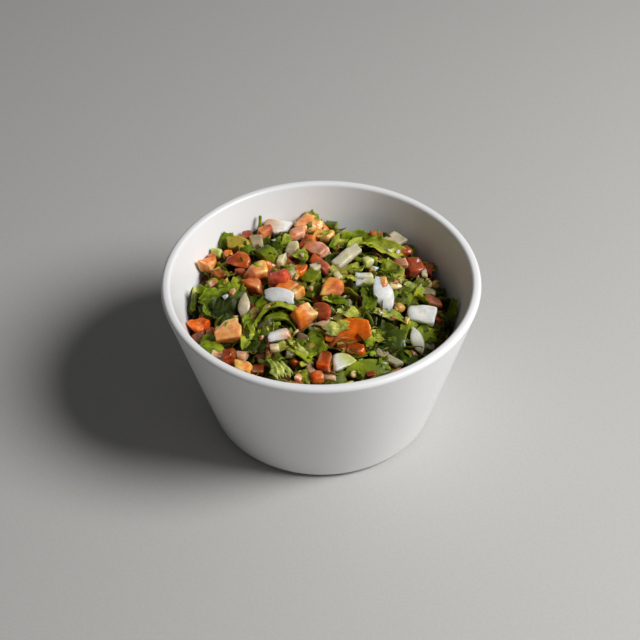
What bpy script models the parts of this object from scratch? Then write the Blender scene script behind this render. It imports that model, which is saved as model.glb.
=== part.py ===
"""Pico de gallo in its own small porcelain bowl.

Two solids: the white bowl, and the heap of chopped tomato, onion, green pepper, herb leaves and seeds that
fills it. The heap is a core that fits the bowl, with every piece that shows fused on at its true size.

Lengths are in millimetres and angles in degrees. MM turns a length into Blender's metres as each mesh is
made. The origin is the middle of the bowl's underside, +Z is up, and the viewer stands on the -Y side.
Each piece that shows is listed once, with its own size and turns and with the pixel of the photo, across
and down, where its middle shows. Its place in the bowl is worked out from that pixel.
"""

import math
import random
from dataclasses import dataclass

import bmesh
import bpy
from mathutils import Matrix, Vector

MM = 0.001

# Bowl: a straight flared wall on a small foot ring
BOWL_HEIGHT = 58.5
RIM_RADIUS = 55.0
BASE_RADIUS = 39.6
RIM_ROUND = 1.4
SHOULDER_HEIGHT = BOWL_HEIGHT - RIM_ROUND
OUTER_FLARE = (RIM_RADIUS - BASE_RADIUS) / SHOULDER_HEIGHT
MOUTH_RADIUS = 52.0
INNER_FLARE = 0.29
BASE_ROUND = 4.0
FLOOR_HEIGHT = 6.0
FLOOR_ROUND = 9.0
FOOT_INNER_RADIUS = 31.0
FOOT_RECESS = 1.2
FOOT_CHAMFER = 0.8
BOWL_SEGMENTS = 48

# Heap: how high the pieces lie, as a low dome that leans to the back left
WALL_LEVEL = 42.0
DOME_RISE = 4.5
LEAN_BACK = 1.5
LEAN_LEFT = 1.0
LEVEL_RADIUS = 47.0
BACK_BUMP_RISE = 2.2
BACK_BUMP_X = -20.0
BACK_BUMP_Y = 30.0
BACK_BUMP_SPREAD = 14.0

# Core under the pieces: it rises where they lie high
CORE_DROP = 1.4
CORE_GAP = 0.5
CORE_SEGMENTS = 28
CORE_RINGS = 6
BED_SPREAD = 4.5
BED_CALM = 0.3

# Pieces that fill the gaps between the listed ones: places tried, and how far off a listed piece must be
FILL_TRIES = 150
FILL_RADIUS = 44.5
FILL_SEED = 4
FILL_CLEARING = 5.0
FRONT_EDGE = -33.0
GOLDEN_TURN = math.pi * (3 - math.sqrt(5))

# What is uneven about a cut piece, as shares of its size
CORNER_JITTER = 0.11
DICE_BEVEL = 0.17
BEVEL_FROM = 6.0
SEED_TAPER = 0.35
FAN_RIBS = 3

LEAF_THICKNESS = 0.5
LEAF_BEND = 30.0
LEAF_CUP = 20.0
STALK_BEND = 15.0
PIECE_GAP = 0.45

TOMATO, ONION, PEPPER, HERB, PIP = "tomato", "onion", "pepper", "herb", "pip"
DICE, SLAB, STRIP, LEAF, FAN, SEED = "dice", "slab", "strip", "leaf", "fan", "seed"


def inner_radius(z):
    """Radius of the bowl's inner wall at height z."""
    return MOUTH_RADIUS - INNER_FLARE * (BOWL_HEIGHT - z)


def level(x, y):
    """Height at which the middle of a piece lies when its lift is zero."""
    dome = DOME_RISE * (1 - (x * x + y * y) / LEVEL_RADIUS**2)
    lean = LEAN_BACK * y / LEVEL_RADIUS - LEAN_LEFT * x / LEVEL_RADIUS
    away = math.hypot(x - BACK_BUMP_X, y - BACK_BUMP_Y) / BACK_BUMP_SPREAD
    return WALL_LEVEL + dome + lean + BACK_BUMP_RISE * math.exp(-away * away / 2)


@dataclass(frozen=True)
class View:
    """The photo's view of the bowl, from in front and above, which ties its pixels to places in the bowl."""

    focal_pixels: float = 1600.0
    middle_pixel: float = 320.0
    distance: float = 562.3
    elevation: float = 42.5
    roll: float = -0.88
    aim_x: float = -0.56
    aim_z: float = 38.4

    def at_height(self, across, down, z):
        """Place at height z that shows at the pixel (across, down)."""
        slope = math.radians(self.elevation)
        ahead = Vector((0, math.cos(slope), -math.sin(slope)))
        right = Matrix.Rotation(-math.radians(self.roll), 3, ahead) @ Vector((1, 0, 0))
        up = right.cross(ahead)
        eye = Vector((self.aim_x, 0, self.aim_z)) - ahead * self.distance
        ray = ahead * self.focal_pixels
        ray += right * (across - self.middle_pixel) - up * (down - self.middle_pixel)
        return eye + ray * ((z - eye.z) / ray.z)

    def on_heap(self, across, down, lift):
        """X and Y of what shows at the pixel and lies lift above the heap's level."""
        z = WALL_LEVEL
        for _ in range(20):
            spot = self.at_height(across, down, z)
            z = level(spot.x, spot.y) + lift
        return spot.x, spot.y


PHOTO = View()


@dataclass(frozen=True)
class Bit:
    """One cut piece: its food and cut, its place, its height over the heap's level, its size and its turns."""

    food: str
    cut: str
    x: float
    y: float
    lift: float
    long: float
    wide: float
    thick: float
    turn: float
    tip: float
    roll: float
    bend: float = 0.0
    cup: float = 0.0


def shown(food, cut, across, down, lift, size, turn=0.0, tip=0.0, roll=0.0, bend=0.0, cup=0.0):
    """Piece whose middle shows at the pixel (across, down) of the photo."""
    x, y = PHOTO.on_heap(across, down, lift)
    return Bit(food, cut, x, y, lift, *size, turn, tip, roll, bend, cup)


def tomato(**where):
    """Dice of tomato."""
    return shown(TOMATO, DICE, **where)


def onion(**where):
    """Dice of onion."""
    return shown(ONION, DICE, **where)


def onion_slice(**where):
    """Thicker flat cut of onion, curved a little as its layer was."""
    return shown(ONION, SLAB, **where)


def leaf(size, bend=LEAF_BEND, cup=LEAF_CUP, **where):
    """Torn or chopped herb leaf, of the size (long, wide)."""
    return shown(HERB, LEAF, size=(*size, LEAF_THICKNESS), bend=bend, cup=cup, **where)


def fan(**where):
    """Ribbed piece that widens to one end."""
    return shown(HERB, FAN, **where)


def stalk(bend=STALK_BEND, **where):
    """Shred or stem, narrow and flat."""
    return shown(HERB, STRIP, bend=bend, **where)


def pip(**where):
    """Seed, or a drop of the jelly round it."""
    return shown(PIP, SEED, **where)


BACK_LEFT = (
    tomato(across=310, down=227, lift=1.0, size=(10, 6.5, 6.5), turn=10, roll=10),
    tomato(across=325, down=238, lift=0.5, size=(6, 5, 5.5), turn=-20, roll=10),
    leaf(across=311, down=215, lift=4.0, size=(6, 5), turn=-20, tip=10, roll=30),
    onion(across=275, down=227, lift=1.0, size=(9, 6, 4.5), turn=-10, roll=15),
    tomato(across=265, down=233, lift=1.0, size=(5, 4.5, 5), turn=30),
    stalk(across=260, down=224, lift=3.5, size=(6, 1.6, 1.0), turn=85, tip=60),
    leaf(across=221, down=241, lift=3.0, size=(9, 6), turn=80, tip=60, bend=80, cup=40),
    tomato(across=239, down=245, lift=1.5, size=(8.5, 5, 4), roll=10),
    onion_slice(across=257, down=244, lift=0.5, size=(7, 4.5, 2.6), turn=100, tip=20, bend=8),
    leaf(across=280, down=244, lift=1.0, size=(9, 6), turn=20, bend=140, cup=0),
    leaf(across=287, down=240, lift=1.5, size=(5, 3.5), turn=80, tip=20),
    onion_slice(across=293, down=251, lift=0.5, size=(8, 6, 3.5), turn=75, tip=15, bend=8),
    leaf(across=302, down=253, lift=1.5, size=(6, 5), turn=-30, roll=20),
    shown(PEPPER, SLAB, across=268, down=257, lift=2.0, size=(8, 7, 2.2), turn=15, roll=40, cup=-40),
    tomato(across=241, down=261, lift=2.0, size=(7.5, 5.5, 4.5), turn=-10, roll=20),
    onion(across=217, down=254, lift=2.0, size=(3.6, 3, 3.2), turn=-25, roll=20),
    tomato(across=228, down=255, lift=1.5, size=(3.5, 3, 3.5), turn=10, roll=20),
)

LEFT = (
    tomato(across=205, down=264, lift=2.5, size=(4.5, 4.5, 5.5), turn=70),
    tomato(across=212, down=261, lift=1.5, size=(4.5, 3, 3.5), turn=80),
    stalk(across=221, down=267, lift=2.0, size=(7.5, 1.8, 1.2), turn=45),
    stalk(across=226, down=273, lift=1.5, size=(4, 1.5, 1.2), turn=-60),
    tomato(across=257, down=273, lift=2.0, size=(6.5, 5.5, 6), turn=25, roll=5),
    tomato(across=241, down=272, lift=0.0, size=(4.5, 4, 4), turn=-15),
    leaf(across=223, down=283, lift=4.0, size=(17, 24), turn=5, roll=15, bend=10, cup=-120),
    leaf(across=207, down=310, lift=0.5, size=(9, 5), turn=-60, roll=20, bend=20),
    stalk(across=191, down=298, lift=0.5, size=(12, 2.0, 0.8), turn=88),
    stalk(across=196, down=296, lift=0.0, size=(10, 1.5, 0.8), turn=80),
    tomato(across=200, down=326, lift=-1.0, size=(5.8, 5, 4.5), turn=-35, roll=10),
    tomato(across=226, down=332, lift=1.5, size=(8.8, 6.5, 6), turn=-12, roll=5),
    onion_slice(across=245, down=306, lift=0.5, size=(8.5, 4.5, 2.2), turn=88, tip=30, cup=-40),
)

MIDDLE = (
    tomato(across=281, down=281, lift=3.0, size=(9.5, 5.5, 6.5), turn=-15, roll=10),
    onion_slice(across=279, down=296, lift=3.0, size=(10.5, 5, 2.5), turn=-10, roll=35, bend=25),
    onion(across=281, down=262, lift=2.0, size=(4, 2.6, 4), turn=80),
    leaf(across=292, down=272, lift=2.0, size=(6, 5), turn=-60, roll=20),
    tomato(across=296, down=291, lift=2.0, size=(5, 3.5, 4), turn=-50, roll=10),
    shown(PEPPER, DICE, across=310, down=278, lift=1.0, size=(7, 6, 4), turn=-10, roll=10),
    tomato(across=301, down=272, lift=1.5, size=(5, 4, 4), turn=80),
    onion(across=316, down=269, lift=2.5, size=(3.5, 3, 3), turn=20),
    tomato(across=308, down=243, lift=2.5, size=(5, 4.5, 4.5), turn=-30, roll=20),
    tomato(across=316, down=251, lift=2.0, size=(9, 5, 4.5), turn=-35, roll=15),
    tomato(across=320, down=265, lift=2.5, size=(9.5, 4, 3.5), turn=-42, roll=10),
    tomato(across=304, down=316, lift=3.0, size=(7, 6, 6.8), turn=35, roll=5),
    tomato(across=322, down=314, lift=1.5, size=(7, 6, 6), turn=-15, roll=10),
    onion(across=320, down=331, lift=-0.5, size=(7, 5, 3.5), turn=10, roll=10),
    leaf(across=318, down=292, lift=0.5, size=(10, 5), turn=10, roll=10),
    leaf(across=337, down=302, lift=0.5, size=(9, 5.5), turn=-15, roll=10),
)

CURL = (
    leaf(across=270, down=299, lift=5.0, size=(38, 6), turn=-6, roll=-20, bend=240, cup=0),
    leaf(across=266, down=302, lift=1.0, size=(8, 5), turn=20, roll=20),
    leaf(across=287, down=307, lift=1.5, size=(8, 4), turn=12, roll=20),
    leaf(across=292, down=323, lift=1.0, size=(7, 4), turn=90, tip=20),
    onion_slice(across=280, down=336, lift=2.0, size=(8, 4.2, 3.2), turn=15, roll=20, bend=8),
    leaf(across=271, down=328, lift=1.0, size=(6, 3), turn=90, tip=20),
    leaf(across=258, down=342, lift=1.0, size=(10, 10), turn=88, tip=10, bend=10, cup=-120),
    leaf(across=244, down=340, lift=0.0, size=(9, 2.5), turn=86, tip=10),
    leaf(across=309, down=345, lift=1.5, size=(10, 9), turn=-60, roll=20, bend=50, cup=-30),
    leaf(across=247, down=324, lift=1.5, size=(11, 5), turn=75, tip=10, bend=50),
    leaf(across=234, down=315, lift=0.0, size=(10, 6), turn=60),
    leaf(across=268, down=320, lift=-0.5, size=(9, 6), turn=20),
    leaf(across=299, down=332, lift=0.5, size=(8, 6), turn=40),
)

FRONT_LEFT = (
    leaf(across=211, down=347, lift=0.5, size=(10, 5), turn=-25, roll=20, bend=40, cup=-30),
    tomato(across=231, down=356, lift=0.5, size=(4.5, 4.5, 4.5), turn=10),
    onion(across=242, down=356, lift=0.5, size=(3.5, 3, 3)),
    onion(across=218, down=355, lift=-1.0, size=(4, 3, 2.5)),
    tomato(across=243, down=368, lift=0.5, size=(6.5, 4.5, 3.5), turn=-30),
    tomato(across=258, down=370, lift=-1.5, size=(5, 4.5, 4)),
)

FRONT_MIDDLE = (
    fan(across=280, down=367, lift=1.5, size=(10, 8, 0.8), turn=115, roll=20, bend=20),
    onion(across=275, down=349, lift=1.0, size=(3, 2.5, 3)),
    leaf(across=282, down=346, lift=1.5, size=(6, 4.5), turn=20),
    onion(across=291, down=353, lift=0.5, size=(3, 3, 2)),
    stalk(across=300, down=353, lift=2.0, size=(11, 2.8, 0.8), turn=-42, bend=45),
    leaf(across=308, down=377, lift=0.5, size=(6, 5), roll=20),
    stalk(across=307, down=363, lift=1.0, size=(5, 2.5, 0.8), turn=10, bend=30),
    onion(across=311, down=372, lift=1.0, size=(3.5, 2, 3), turn=-45),
    tomato(across=299, down=377, lift=0.5, size=(3.5, 3, 3), turn=80),
    tomato(across=325, down=362, lift=2.0, size=(8, 5, 5), turn=75),
    onion(across=329, down=377, lift=0.5, size=(4.5, 4, 3.5)),
)

BACK_RIGHT = (
    onion_slice(across=347, down=257, lift=3.0, size=(12, 4, 3.2), turn=45, tip=8, bend=8),
    leaf(across=378, down=247, lift=2.5, size=(19, 9), turn=-30, roll=20, bend=60, cup=30),
    leaf(across=338, down=244, lift=1.0, size=(8, 6), turn=60),
    onion(across=342, down=235, lift=1.5, size=(5, 2.5, 3), turn=50),
    stalk(across=374, down=239, lift=2.5, size=(6, 2.4, 1.2), turn=100, tip=50),
    stalk(across=378, down=239, lift=2.5, size=(6, 2, 0.8), turn=100, tip=50, bend=30),
    onion_slice(across=391, down=243, lift=1.5, size=(8.5, 4.2, 2.2), turn=40, roll=10, bend=8),
    leaf(across=408, down=249, lift=1.0, size=(6, 4.5), turn=-50, bend=20, cup=30),
    tomato(across=405, down=253, lift=1.5, size=(5, 4.2, 4.2)),
    leaf(across=397, down=248, lift=1.5, size=(5, 4), turn=20),
    onion(across=400, down=265, lift=1.5, size=(5, 4, 3.5), turn=10),
    tomato(across=415, down=270, lift=1.0, size=(6.6, 5.5, 5.5), turn=20),
    tomato(across=429, down=269, lift=-0.5, size=(5.5, 5, 4.5), turn=-20),
    onion_slice(across=424, down=273, lift=1.5, size=(4, 2, 2.4), turn=95, tip=20, bend=8),
    leaf(across=352, down=239, lift=1.5, size=(10, 6.5), turn=25, roll=20),
    leaf(across=364, down=259, lift=1.0, size=(10, 6), turn=-20, roll=10),
    leaf(across=387, down=258, lift=1.5, size=(10, 6), turn=-10, roll=15),
)

RIGHT = (
    pip(across=428, down=283, lift=-0.4, size=(4.3, 2.6, 2.4), turn=100, tip=20),
    pip(across=436, down=284, lift=-0.6, size=(4.3, 3.2, 2.4), turn=60, roll=20),
    leaf(across=392, down=272, lift=1.8, size=(9, 7), turn=-15, roll=20),
    pip(across=396, down=286, lift=1.0, size=(5, 3.2, 2.8), turn=-5),
    onion_slice(across=386, down=296, lift=3.0, size=(11, 6.5, 2.6), turn=100, tip=30, cup=-25),
    tomato(across=384, down=282, lift=4.5, size=(4, 2.5, 2.4), turn=95, tip=20),
    onion_slice(across=364, down=277, lift=1.5, size=(6.5, 2.4, 3), bend=8),
    onion_slice(across=365, down=284, lift=1.5, size=(7, 2.4, 3), bend=8),
    onion(across=368, down=263, lift=1.2, size=(3.5, 3, 3.6), turn=30),
    leaf(across=368, down=299, lift=2.5, size=(11, 6.5), turn=100, tip=20, bend=60, cup=30),
    leaf(across=356, down=268, lift=0.4, size=(6, 5), turn=50),
    fan(across=348, down=278, lift=1.5, size=(6, 4, 0.6), bend=10),
    tomato(across=334, down=288, lift=2.5, size=(7.2, 6, 6.8), turn=-5, roll=5),
    leaf(across=327, down=294, lift=2.5, size=(6, 3.5), turn=-60, roll=20),
    stalk(across=335, down=273, lift=3.0, size=(7, 2.4, 2.4), turn=-65, bend=30),
    leaf(across=380, down=309, lift=1.0, size=(10, 6), turn=70, roll=10),
    leaf(across=402, down=299, lift=0.5, size=(9, 6), turn=20),
)

FRONT_RIGHT = (
    leaf(across=348, down=311, lift=1.5, size=(8, 5.5), turn=-10),
    shown(TOMATO, SLAB, across=349, down=330, lift=3.0, size=(14, 7.5, 1.4), turn=12, roll=35, bend=-15, cup=-30),
    leaf(across=338, down=329, lift=4.5, size=(7.5, 4.5), turn=15, roll=20, bend=20),
    leaf(across=388, down=316, lift=2.0, size=(11, 6), turn=-20, roll=10, cup=40),
    pip(across=400, down=308, lift=2.0, size=(3.8, 3.8, 3.6)),
    onion(across=421, down=316, lift=2.0, size=(10.5, 5.8, 4.8), turn=-15, roll=20),
    leaf(across=416, down=294, lift=1.2, size=(8, 5), turn=60, tip=10, cup=-40),
    leaf(across=411, down=286, lift=0.8, size=(7, 5.5), turn=-60, cup=-40),
    onion(across=430, down=293, lift=0.5, size=(4, 3, 2)),
    tomato(across=434, down=304, lift=0.0, size=(5, 4.5, 4)),
    onion_slice(across=417, down=341, lift=1.5, size=(10.5, 4.2, 2.4), turn=105, tip=15, cup=-30),
    leaf(across=427, down=333, lift=1.0, size=(9, 7.5), turn=60, roll=30, bend=40, cup=-50),
    onion(across=429, down=348, lift=-1.0, size=(3.5, 3, 2)),
    shown(PEPPER, DICE, across=394, down=341, lift=-0.5, size=(9, 7, 6), turn=10),
    leaf(across=369, down=338, lift=1.5, size=(8, 7), turn=30, roll=20, cup=-30),
    tomato(across=347, down=348, lift=0.0, size=(7, 5, 4)),
    onion(across=341, down=362, lift=2.0, size=(6.5, 5.5, 4.5), turn=30, roll=10),
    leaf(across=334, down=369, lift=1.0, size=(4, 4), roll=30),
    shown(PEPPER, SLAB, across=367, down=369, lift=1.0, size=(14.5, 7, 2), turn=5, roll=35, bend=30),
    pip(across=355, down=374, lift=1.2, size=(3.4, 2.4, 1.8), turn=20, roll=30),
    tomato(across=371, down=375, lift=1.0, size=(3, 2.5, 2)),
    onion_slice(across=391, down=360, lift=-0.2, size=(7.5, 3, 1.8), turn=-42, bend=8),
    onion(across=381, down=355, lift=-0.2, size=(3.5, 2.5, 2), turn=-30),
    leaf(across=454, down=313, lift=2.5, size=(10, 4), turn=70, tip=40, bend=20, cup=30),
    leaf(across=378, down=353, lift=0.3, size=(4, 3.5), turn=80, bend=20),
    leaf(across=384, down=329, lift=0.3, size=(9, 6), turn=-20),
    leaf(across=357, down=353, lift=0.0, size=(8, 6), turn=20),
)

LISTED = BACK_LEFT + LEFT + MIDDLE + CURL + FRONT_LEFT + FRONT_MIDDLE + BACK_RIGHT + RIGHT + FRONT_RIGHT


def bed_rise(x, y):
    """How far the bed under the pieces rises over the level: the mean lift of the listed pieces round about."""
    lifted, weights = 0.0, BED_CALM
    for bit in LISTED:
        away = math.hypot(x - bit.x, y - bit.y) / BED_SPREAD
        weight = math.exp(-away * away / 2)
        lifted += weight * bit.lift
        weights += weight
    return lifted / weights


def fill_bits():
    """Pieces spread as a sunflower's seeds over what the listed ones leave bare."""
    rng = random.Random(FILL_SEED)
    bits = []
    for index in range(FILL_TRIES):
        radius = FILL_RADIUS * math.sqrt((index + 0.5) / FILL_TRIES)
        angle = index * GOLDEN_TURN
        x = radius * math.cos(angle) + rng.uniform(-1.5, 1.5)
        y = radius * math.sin(angle) + rng.uniform(-1.5, 1.5)
        if any(math.hypot(x - bit.x, y - bit.y) < FILL_CLEARING for bit in LISTED):
            continue
        lift = bed_rise(x, y) + rng.uniform(-1.0, 0.3)
        size = rng.uniform(0.8, 1.3)
        turns = (rng.uniform(0, 180), rng.uniform(-20, 20), rng.uniform(-25, 25))
        draw = rng.random()
        leafy = 0.36 if y < FRONT_EDGE else 0.8
        if draw < leafy:
            bits.append(Bit(HERB, LEAF, x, y, lift, 8.5 * size, 6 * size, LEAF_THICKNESS, *turns, 35, 25))
        elif draw < 0.68:
            bits.append(Bit(TOMATO, DICE, x, y, lift, 5.5 * size, 4.6 * size, 4.4 * size, *turns))
        elif draw < 0.92:
            bits.append(Bit(ONION, DICE, x, y, lift, 5.5 * size, 4.4 * size, 3.0 * size, *turns))
        else:
            bits.append(Bit(PEPPER, SLAB, x, y, lift, 6.5 * size, 4.5 * size, 2.0, *turns, 0, -30))
    return bits


def arc(centre_r, centre_z, radius, start, end, steps):
    """Points of an arc in the profile plane, from angle start to angle end."""
    points = []
    for step in range(steps + 1):
        angle = math.radians(start + (end - start) * step / steps)
        points.append((centre_r + radius * math.cos(angle), centre_z + radius * math.sin(angle)))
    return points


def inner_hollow(gap, top):
    """Profile of the bowl's inside, set in by gap, from height top down the wall to the axis at the floor."""
    lean = math.degrees(math.atan(INNER_FLARE))
    stretch = math.hypot(1, INNER_FLARE)
    round_z = FLOOR_HEIGHT + FLOOR_ROUND
    round_r = inner_radius(round_z) - FLOOR_ROUND * stretch
    wall = [(inner_radius(top) - gap * stretch, top)]
    turn = arc(round_r, round_z, FLOOR_ROUND - gap, -lean, -90, 4)
    return wall + turn + [(0, FLOOR_HEIGHT + gap)]


def bowl_profile():
    """Half section of the bowl, from the floor's middle up the inside, over the rim and down the outside."""
    inner_lean = math.degrees(math.atan(INNER_FLARE))
    outer_lean = math.degrees(math.atan(OUTER_FLARE))
    inside = inner_hollow(0, SHOULDER_HEIGHT)[::-1]
    inner_lip_r = inner_radius(SHOULDER_HEIGHT) + RIM_ROUND
    inner_lip = arc(inner_lip_r, SHOULDER_HEIGHT, RIM_ROUND, 180 - inner_lean, 90, 3)
    outer_lip = arc(RIM_RADIUS - RIM_ROUND, SHOULDER_HEIGHT, RIM_ROUND, 90, -outer_lean, 3)
    base_r = BASE_RADIUS + OUTER_FLARE * BASE_ROUND - BASE_ROUND * math.hypot(1, OUTER_FLARE)
    base = arc(base_r, BASE_ROUND, BASE_ROUND, -outer_lean, -90, 3)
    foot = [(FOOT_INNER_RADIUS, 0), (FOOT_INNER_RADIUS - FOOT_CHAMFER, FOOT_RECESS), (0, FOOT_RECESS)]
    return inside[:-1] + inner_lip + outer_lip + base + foot


def turned(name, profile, segments):
    """Object of a profile of (radius, height) points turned about the Z axis."""
    mesh = bpy.data.meshes.new(name)
    points = [(r * MM, 0, z * MM) for r, z in profile]
    edges = [(i, i + 1) for i in range(len(points) - 1)]
    mesh.from_pydata(points, edges, [])
    obj = bpy.data.objects.new(name, mesh)
    screw = obj.modifiers.new("turn", "SCREW")
    screw.steps = segments
    screw.render_steps = segments
    screw.use_merge_vertices = True
    screw.merge_threshold = 0.00001
    return obj


def applied(obj):
    """Gives a linked object the mesh that its modifiers make, and removes them."""
    bpy.context.view_layer.update()
    graph = bpy.context.evaluated_depsgraph_get()
    mesh = bpy.data.meshes.new_from_object(obj.evaluated_get(graph))
    obj.modifiers.clear()
    obj.data = mesh


def curled(x, y, z, bit):
    """A point of a thin piece after it is cupped across its width and bent along its length."""
    cup = math.radians(bit.cup)
    if cup:
        radius = bit.wide / cup
        angle = y / radius
        y = (radius - z) * math.sin(angle)
        z = radius - (radius - z) * math.cos(angle)
    bend = math.radians(bit.bend)
    if bend:
        radius = bit.long / bend
        angle = x / radius
        x = (radius + z) * math.sin(angle)
        z = (radius + z) * math.cos(angle) - radius
    return x, y, z


def leaf_point(u, v, bit, draws):
    """Point of a leaf at u along and v across: pointed or torn ends, and an edge that waves."""
    blunt = 0.1 + 0.12 * draws[0]
    width = math.sin(math.pi * (blunt + (1 - 2 * blunt) * (u + 0.5))) ** 0.75
    wave = bit.wide * (0.05 + 0.05 * draws[1]) * (2 * v) ** 2
    return bit.long * u, bit.wide * v * width, wave * math.sin(2 * math.pi * (1.4 * u + draws[2]))


def fan_point(u, v, bit):
    """Point of a ribbed piece at u along and v across: wide at its start, narrow at its end."""
    return bit.long * u, bit.wide * v * (0.8 - 0.4 * u), 0.05 * bit.wide * math.cos(2 * math.pi * FAN_RIBS * v)


def slab_point(u, v, bit, draws):
    """Point of a cut slab or strip at u along and v across, its corners out of square."""
    ends = draws[0] * (0.5 - v) + draws[1] * (0.5 + v) - 0.5
    sides = draws[2] * (0.5 - u) + draws[3] * (0.5 + u) - 0.5
    return bit.long * u * (1 + 2 * CORNER_JITTER * ends), bit.wide * v * (1 + 2 * CORNER_JITTER * sides), 0.0


def sheet_cells(bit):
    """How many cells a thin piece takes along and across."""
    along = max(2, round(abs(bit.bend) / 28))
    if bit.cut == FAN:
        return along, 2 * FAN_RIBS
    if abs(bit.cup) > 60:
        return along, 4
    if bit.cut == LEAF or bit.cup:
        return along, 2
    return along, 1


def sheet(name, bit, rng):
    """A leaf, strip or slab: an open surface given its thickness, both faces split alike."""
    draws = [rng.random() for _ in range(4)]
    along, across = sheet_cells(bit)
    bm = bmesh.new()
    bmesh.ops.create_grid(bm, x_segments=along, y_segments=across, size=0.5)
    bmesh.ops.triangulate(bm, faces=bm.faces[:])
    for vert in bm.verts:
        u, v = vert.co.x, vert.co.y
        if bit.cut == LEAF:
            point = leaf_point(u, v, bit, draws)
        elif bit.cut == FAN:
            point = fan_point(u, v, bit)
        else:
            point = slab_point(u, v, bit, draws)
        vert.co = Vector(curled(*point, bit)) * MM
    obj = object_of(name, bm)
    shell = obj.modifiers.new("thickness", "SOLIDIFY")
    shell.thickness = bit.thick * MM
    shell.offset = 0
    return obj


def dice(name, bit, rng):
    """A cube cut by hand: its corners are out of place, and the edges of a large one are taken off."""
    bm = bmesh.new()
    bmesh.ops.create_cube(bm, size=1)
    size = (bit.long, bit.wide, bit.thick)
    for vert in sorted(bm.verts, key=lambda corner: tuple(corner.co)):
        moved = [part + CORNER_JITTER * (2 * rng.random() - 1) for part in vert.co]
        vert.co = Vector([part * side * MM for part, side in zip(moved, size)])
    bmesh.ops.triangulate(bm, faces=bm.faces[:])
    if min(size) >= BEVEL_FROM:
        square = [edge for edge in bm.edges if edge.calc_face_angle() > math.radians(45)]
        bmesh.ops.bevel(bm, geom=square, offset=DICE_BEVEL * min(size) * MM, segments=1, affect="EDGES")
    return object_of(name, bm)


def seed(name, bit):
    """A pip, one end narrower than the other."""
    bm = bmesh.new()
    bmesh.ops.create_icosphere(bm, subdivisions=1, radius=0.5)
    for vert in bm.verts:
        taper = 1 - 2 * SEED_TAPER * vert.co.x
        vert.co.x *= bit.long * MM
        vert.co.y *= bit.wide * taper * MM
        vert.co.z *= bit.thick * taper * MM
    return object_of(name, bm)


def object_of(name, bm):
    """Object with the mesh that bm holds."""
    mesh = bpy.data.meshes.new(name)
    bm.to_mesh(mesh)
    bm.free()
    return bpy.data.objects.new(name, mesh)


def piece(bit, number):
    """Object of one cut piece at the origin. Its number seeds what is uneven about it."""
    rng = random.Random(number)
    name = f"{bit.food}_{number:03d}"
    if bit.cut == DICE:
        return dice(name, bit, rng)
    if bit.cut == SEED:
        return seed(name, bit)
    return sheet(name, bit, rng)


def over_wall(point):
    """How far a point reaches past the bowl's inner wall less the gap that every piece keeps to it."""
    return math.hypot(point.x, point.y) - (inner_radius(point.z) - PIECE_GAP)


def stand(bit, obj):
    """Turns a piece and puts it on the heap, then moves it inward until it is clear of the bowl's wall."""
    applied(obj)
    roll = Matrix.Rotation(math.radians(bit.roll), 4, "X")
    tip = Matrix.Rotation(math.radians(-bit.tip), 4, "Y")
    turn = Matrix.Rotation(math.radians(bit.turn), 4, "Z")
    place = Vector((bit.x, bit.y, level(bit.x, bit.y) + bit.lift))
    obj.data.transform(Matrix.Translation(place * MM) @ turn @ tip @ roll)
    inward = Vector((-bit.x, -bit.y, 0)).normalized()
    for _ in range(4):
        over = max(over_wall(vert.co / MM) for vert in obj.data.vertices)
        if over > 0:
            obj.data.transform(Matrix.Translation(inward * (over + 0.05) * MM))


def heap_core(name):
    """Solid that fills the bowl up to the pieces, clear of the wall, before its top is shaped."""
    edge = inner_radius(BOWL_HEIGHT) - CORE_GAP * math.hypot(1, INNER_FLARE)
    disc = [(edge * ring / CORE_RINGS, BOWL_HEIGHT) for ring in range(CORE_RINGS)]
    return turned(name, disc + inner_hollow(CORE_GAP, BOWL_HEIGHT), CORE_SEGMENTS)


def shape_core_top(core):
    """Lowers the flat top of the core to a step below the middles of the pieces."""
    edge = inner_radius(BOWL_HEIGHT) - CORE_GAP * math.hypot(1, INNER_FLARE)
    for vert in core.data.vertices:
        point = vert.co / MM
        if point.z < BOWL_HEIGHT - 0.01:
            continue
        x = point.x * LEVEL_RADIUS / edge
        y = point.y * LEVEL_RADIUS / edge
        z = level(x, y) + bed_rise(x, y) - CORE_DROP
        shrink = (inner_radius(z) - CORE_GAP * math.hypot(1, INNER_FLARE)) / edge
        vert.co = Vector((point.x * shrink, point.y * shrink, z)) * MM


def drop_scraps(mesh):
    """Keeps the largest part of the mesh that is joined by edges, and drops loose scraps and sealed hollows."""
    bm = bmesh.new()
    bm.from_mesh(mesh)
    unseen = set(bm.faces)
    islands = []
    while unseen:
        island = [unseen.pop()]
        for face in island:
            for edge in face.edges:
                for other in edge.link_faces:
                    if other in unseen:
                        unseen.discard(other)
                        island.append(other)
        islands.append(island)
    islands.sort(key=len)
    for island in islands[:-1]:
        bmesh.ops.delete(bm, geom=island, context="FACES")
    bm.to_mesh(mesh)
    bm.free()


def fuse(core, pieces):
    """Joins every piece of the collection to the core by one Boolean union, and removes the pieces."""
    union = core.modifiers.new("fuse", "BOOLEAN")
    union.operation = "UNION"
    union.operand_type = "COLLECTION"
    union.collection = pieces
    union.solver = "MANIFOLD"
    applied(core)
    for obj in list(pieces.objects):
        bpy.data.objects.remove(obj)
    bpy.data.collections.remove(pieces)
    drop_scraps(core.data)


def finish(name, colour, roughness):
    """Material of one colour and roughness, with no metal in it."""
    material = bpy.data.materials.new(name)
    material.use_nodes = True
    shader = material.node_tree.nodes["Principled BSDF"]
    shader.inputs["Base Color"].default_value = (*colour, 1)
    shader.inputs["Roughness"].default_value = roughness
    shader.inputs["Metallic"].default_value = 0
    return material


def dress(obj, material):
    """Gives the whole object one material."""
    obj.data.materials.clear()
    obj.data.materials.append(material)
    for face in obj.data.polygons:
        face.material_index = 0


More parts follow.
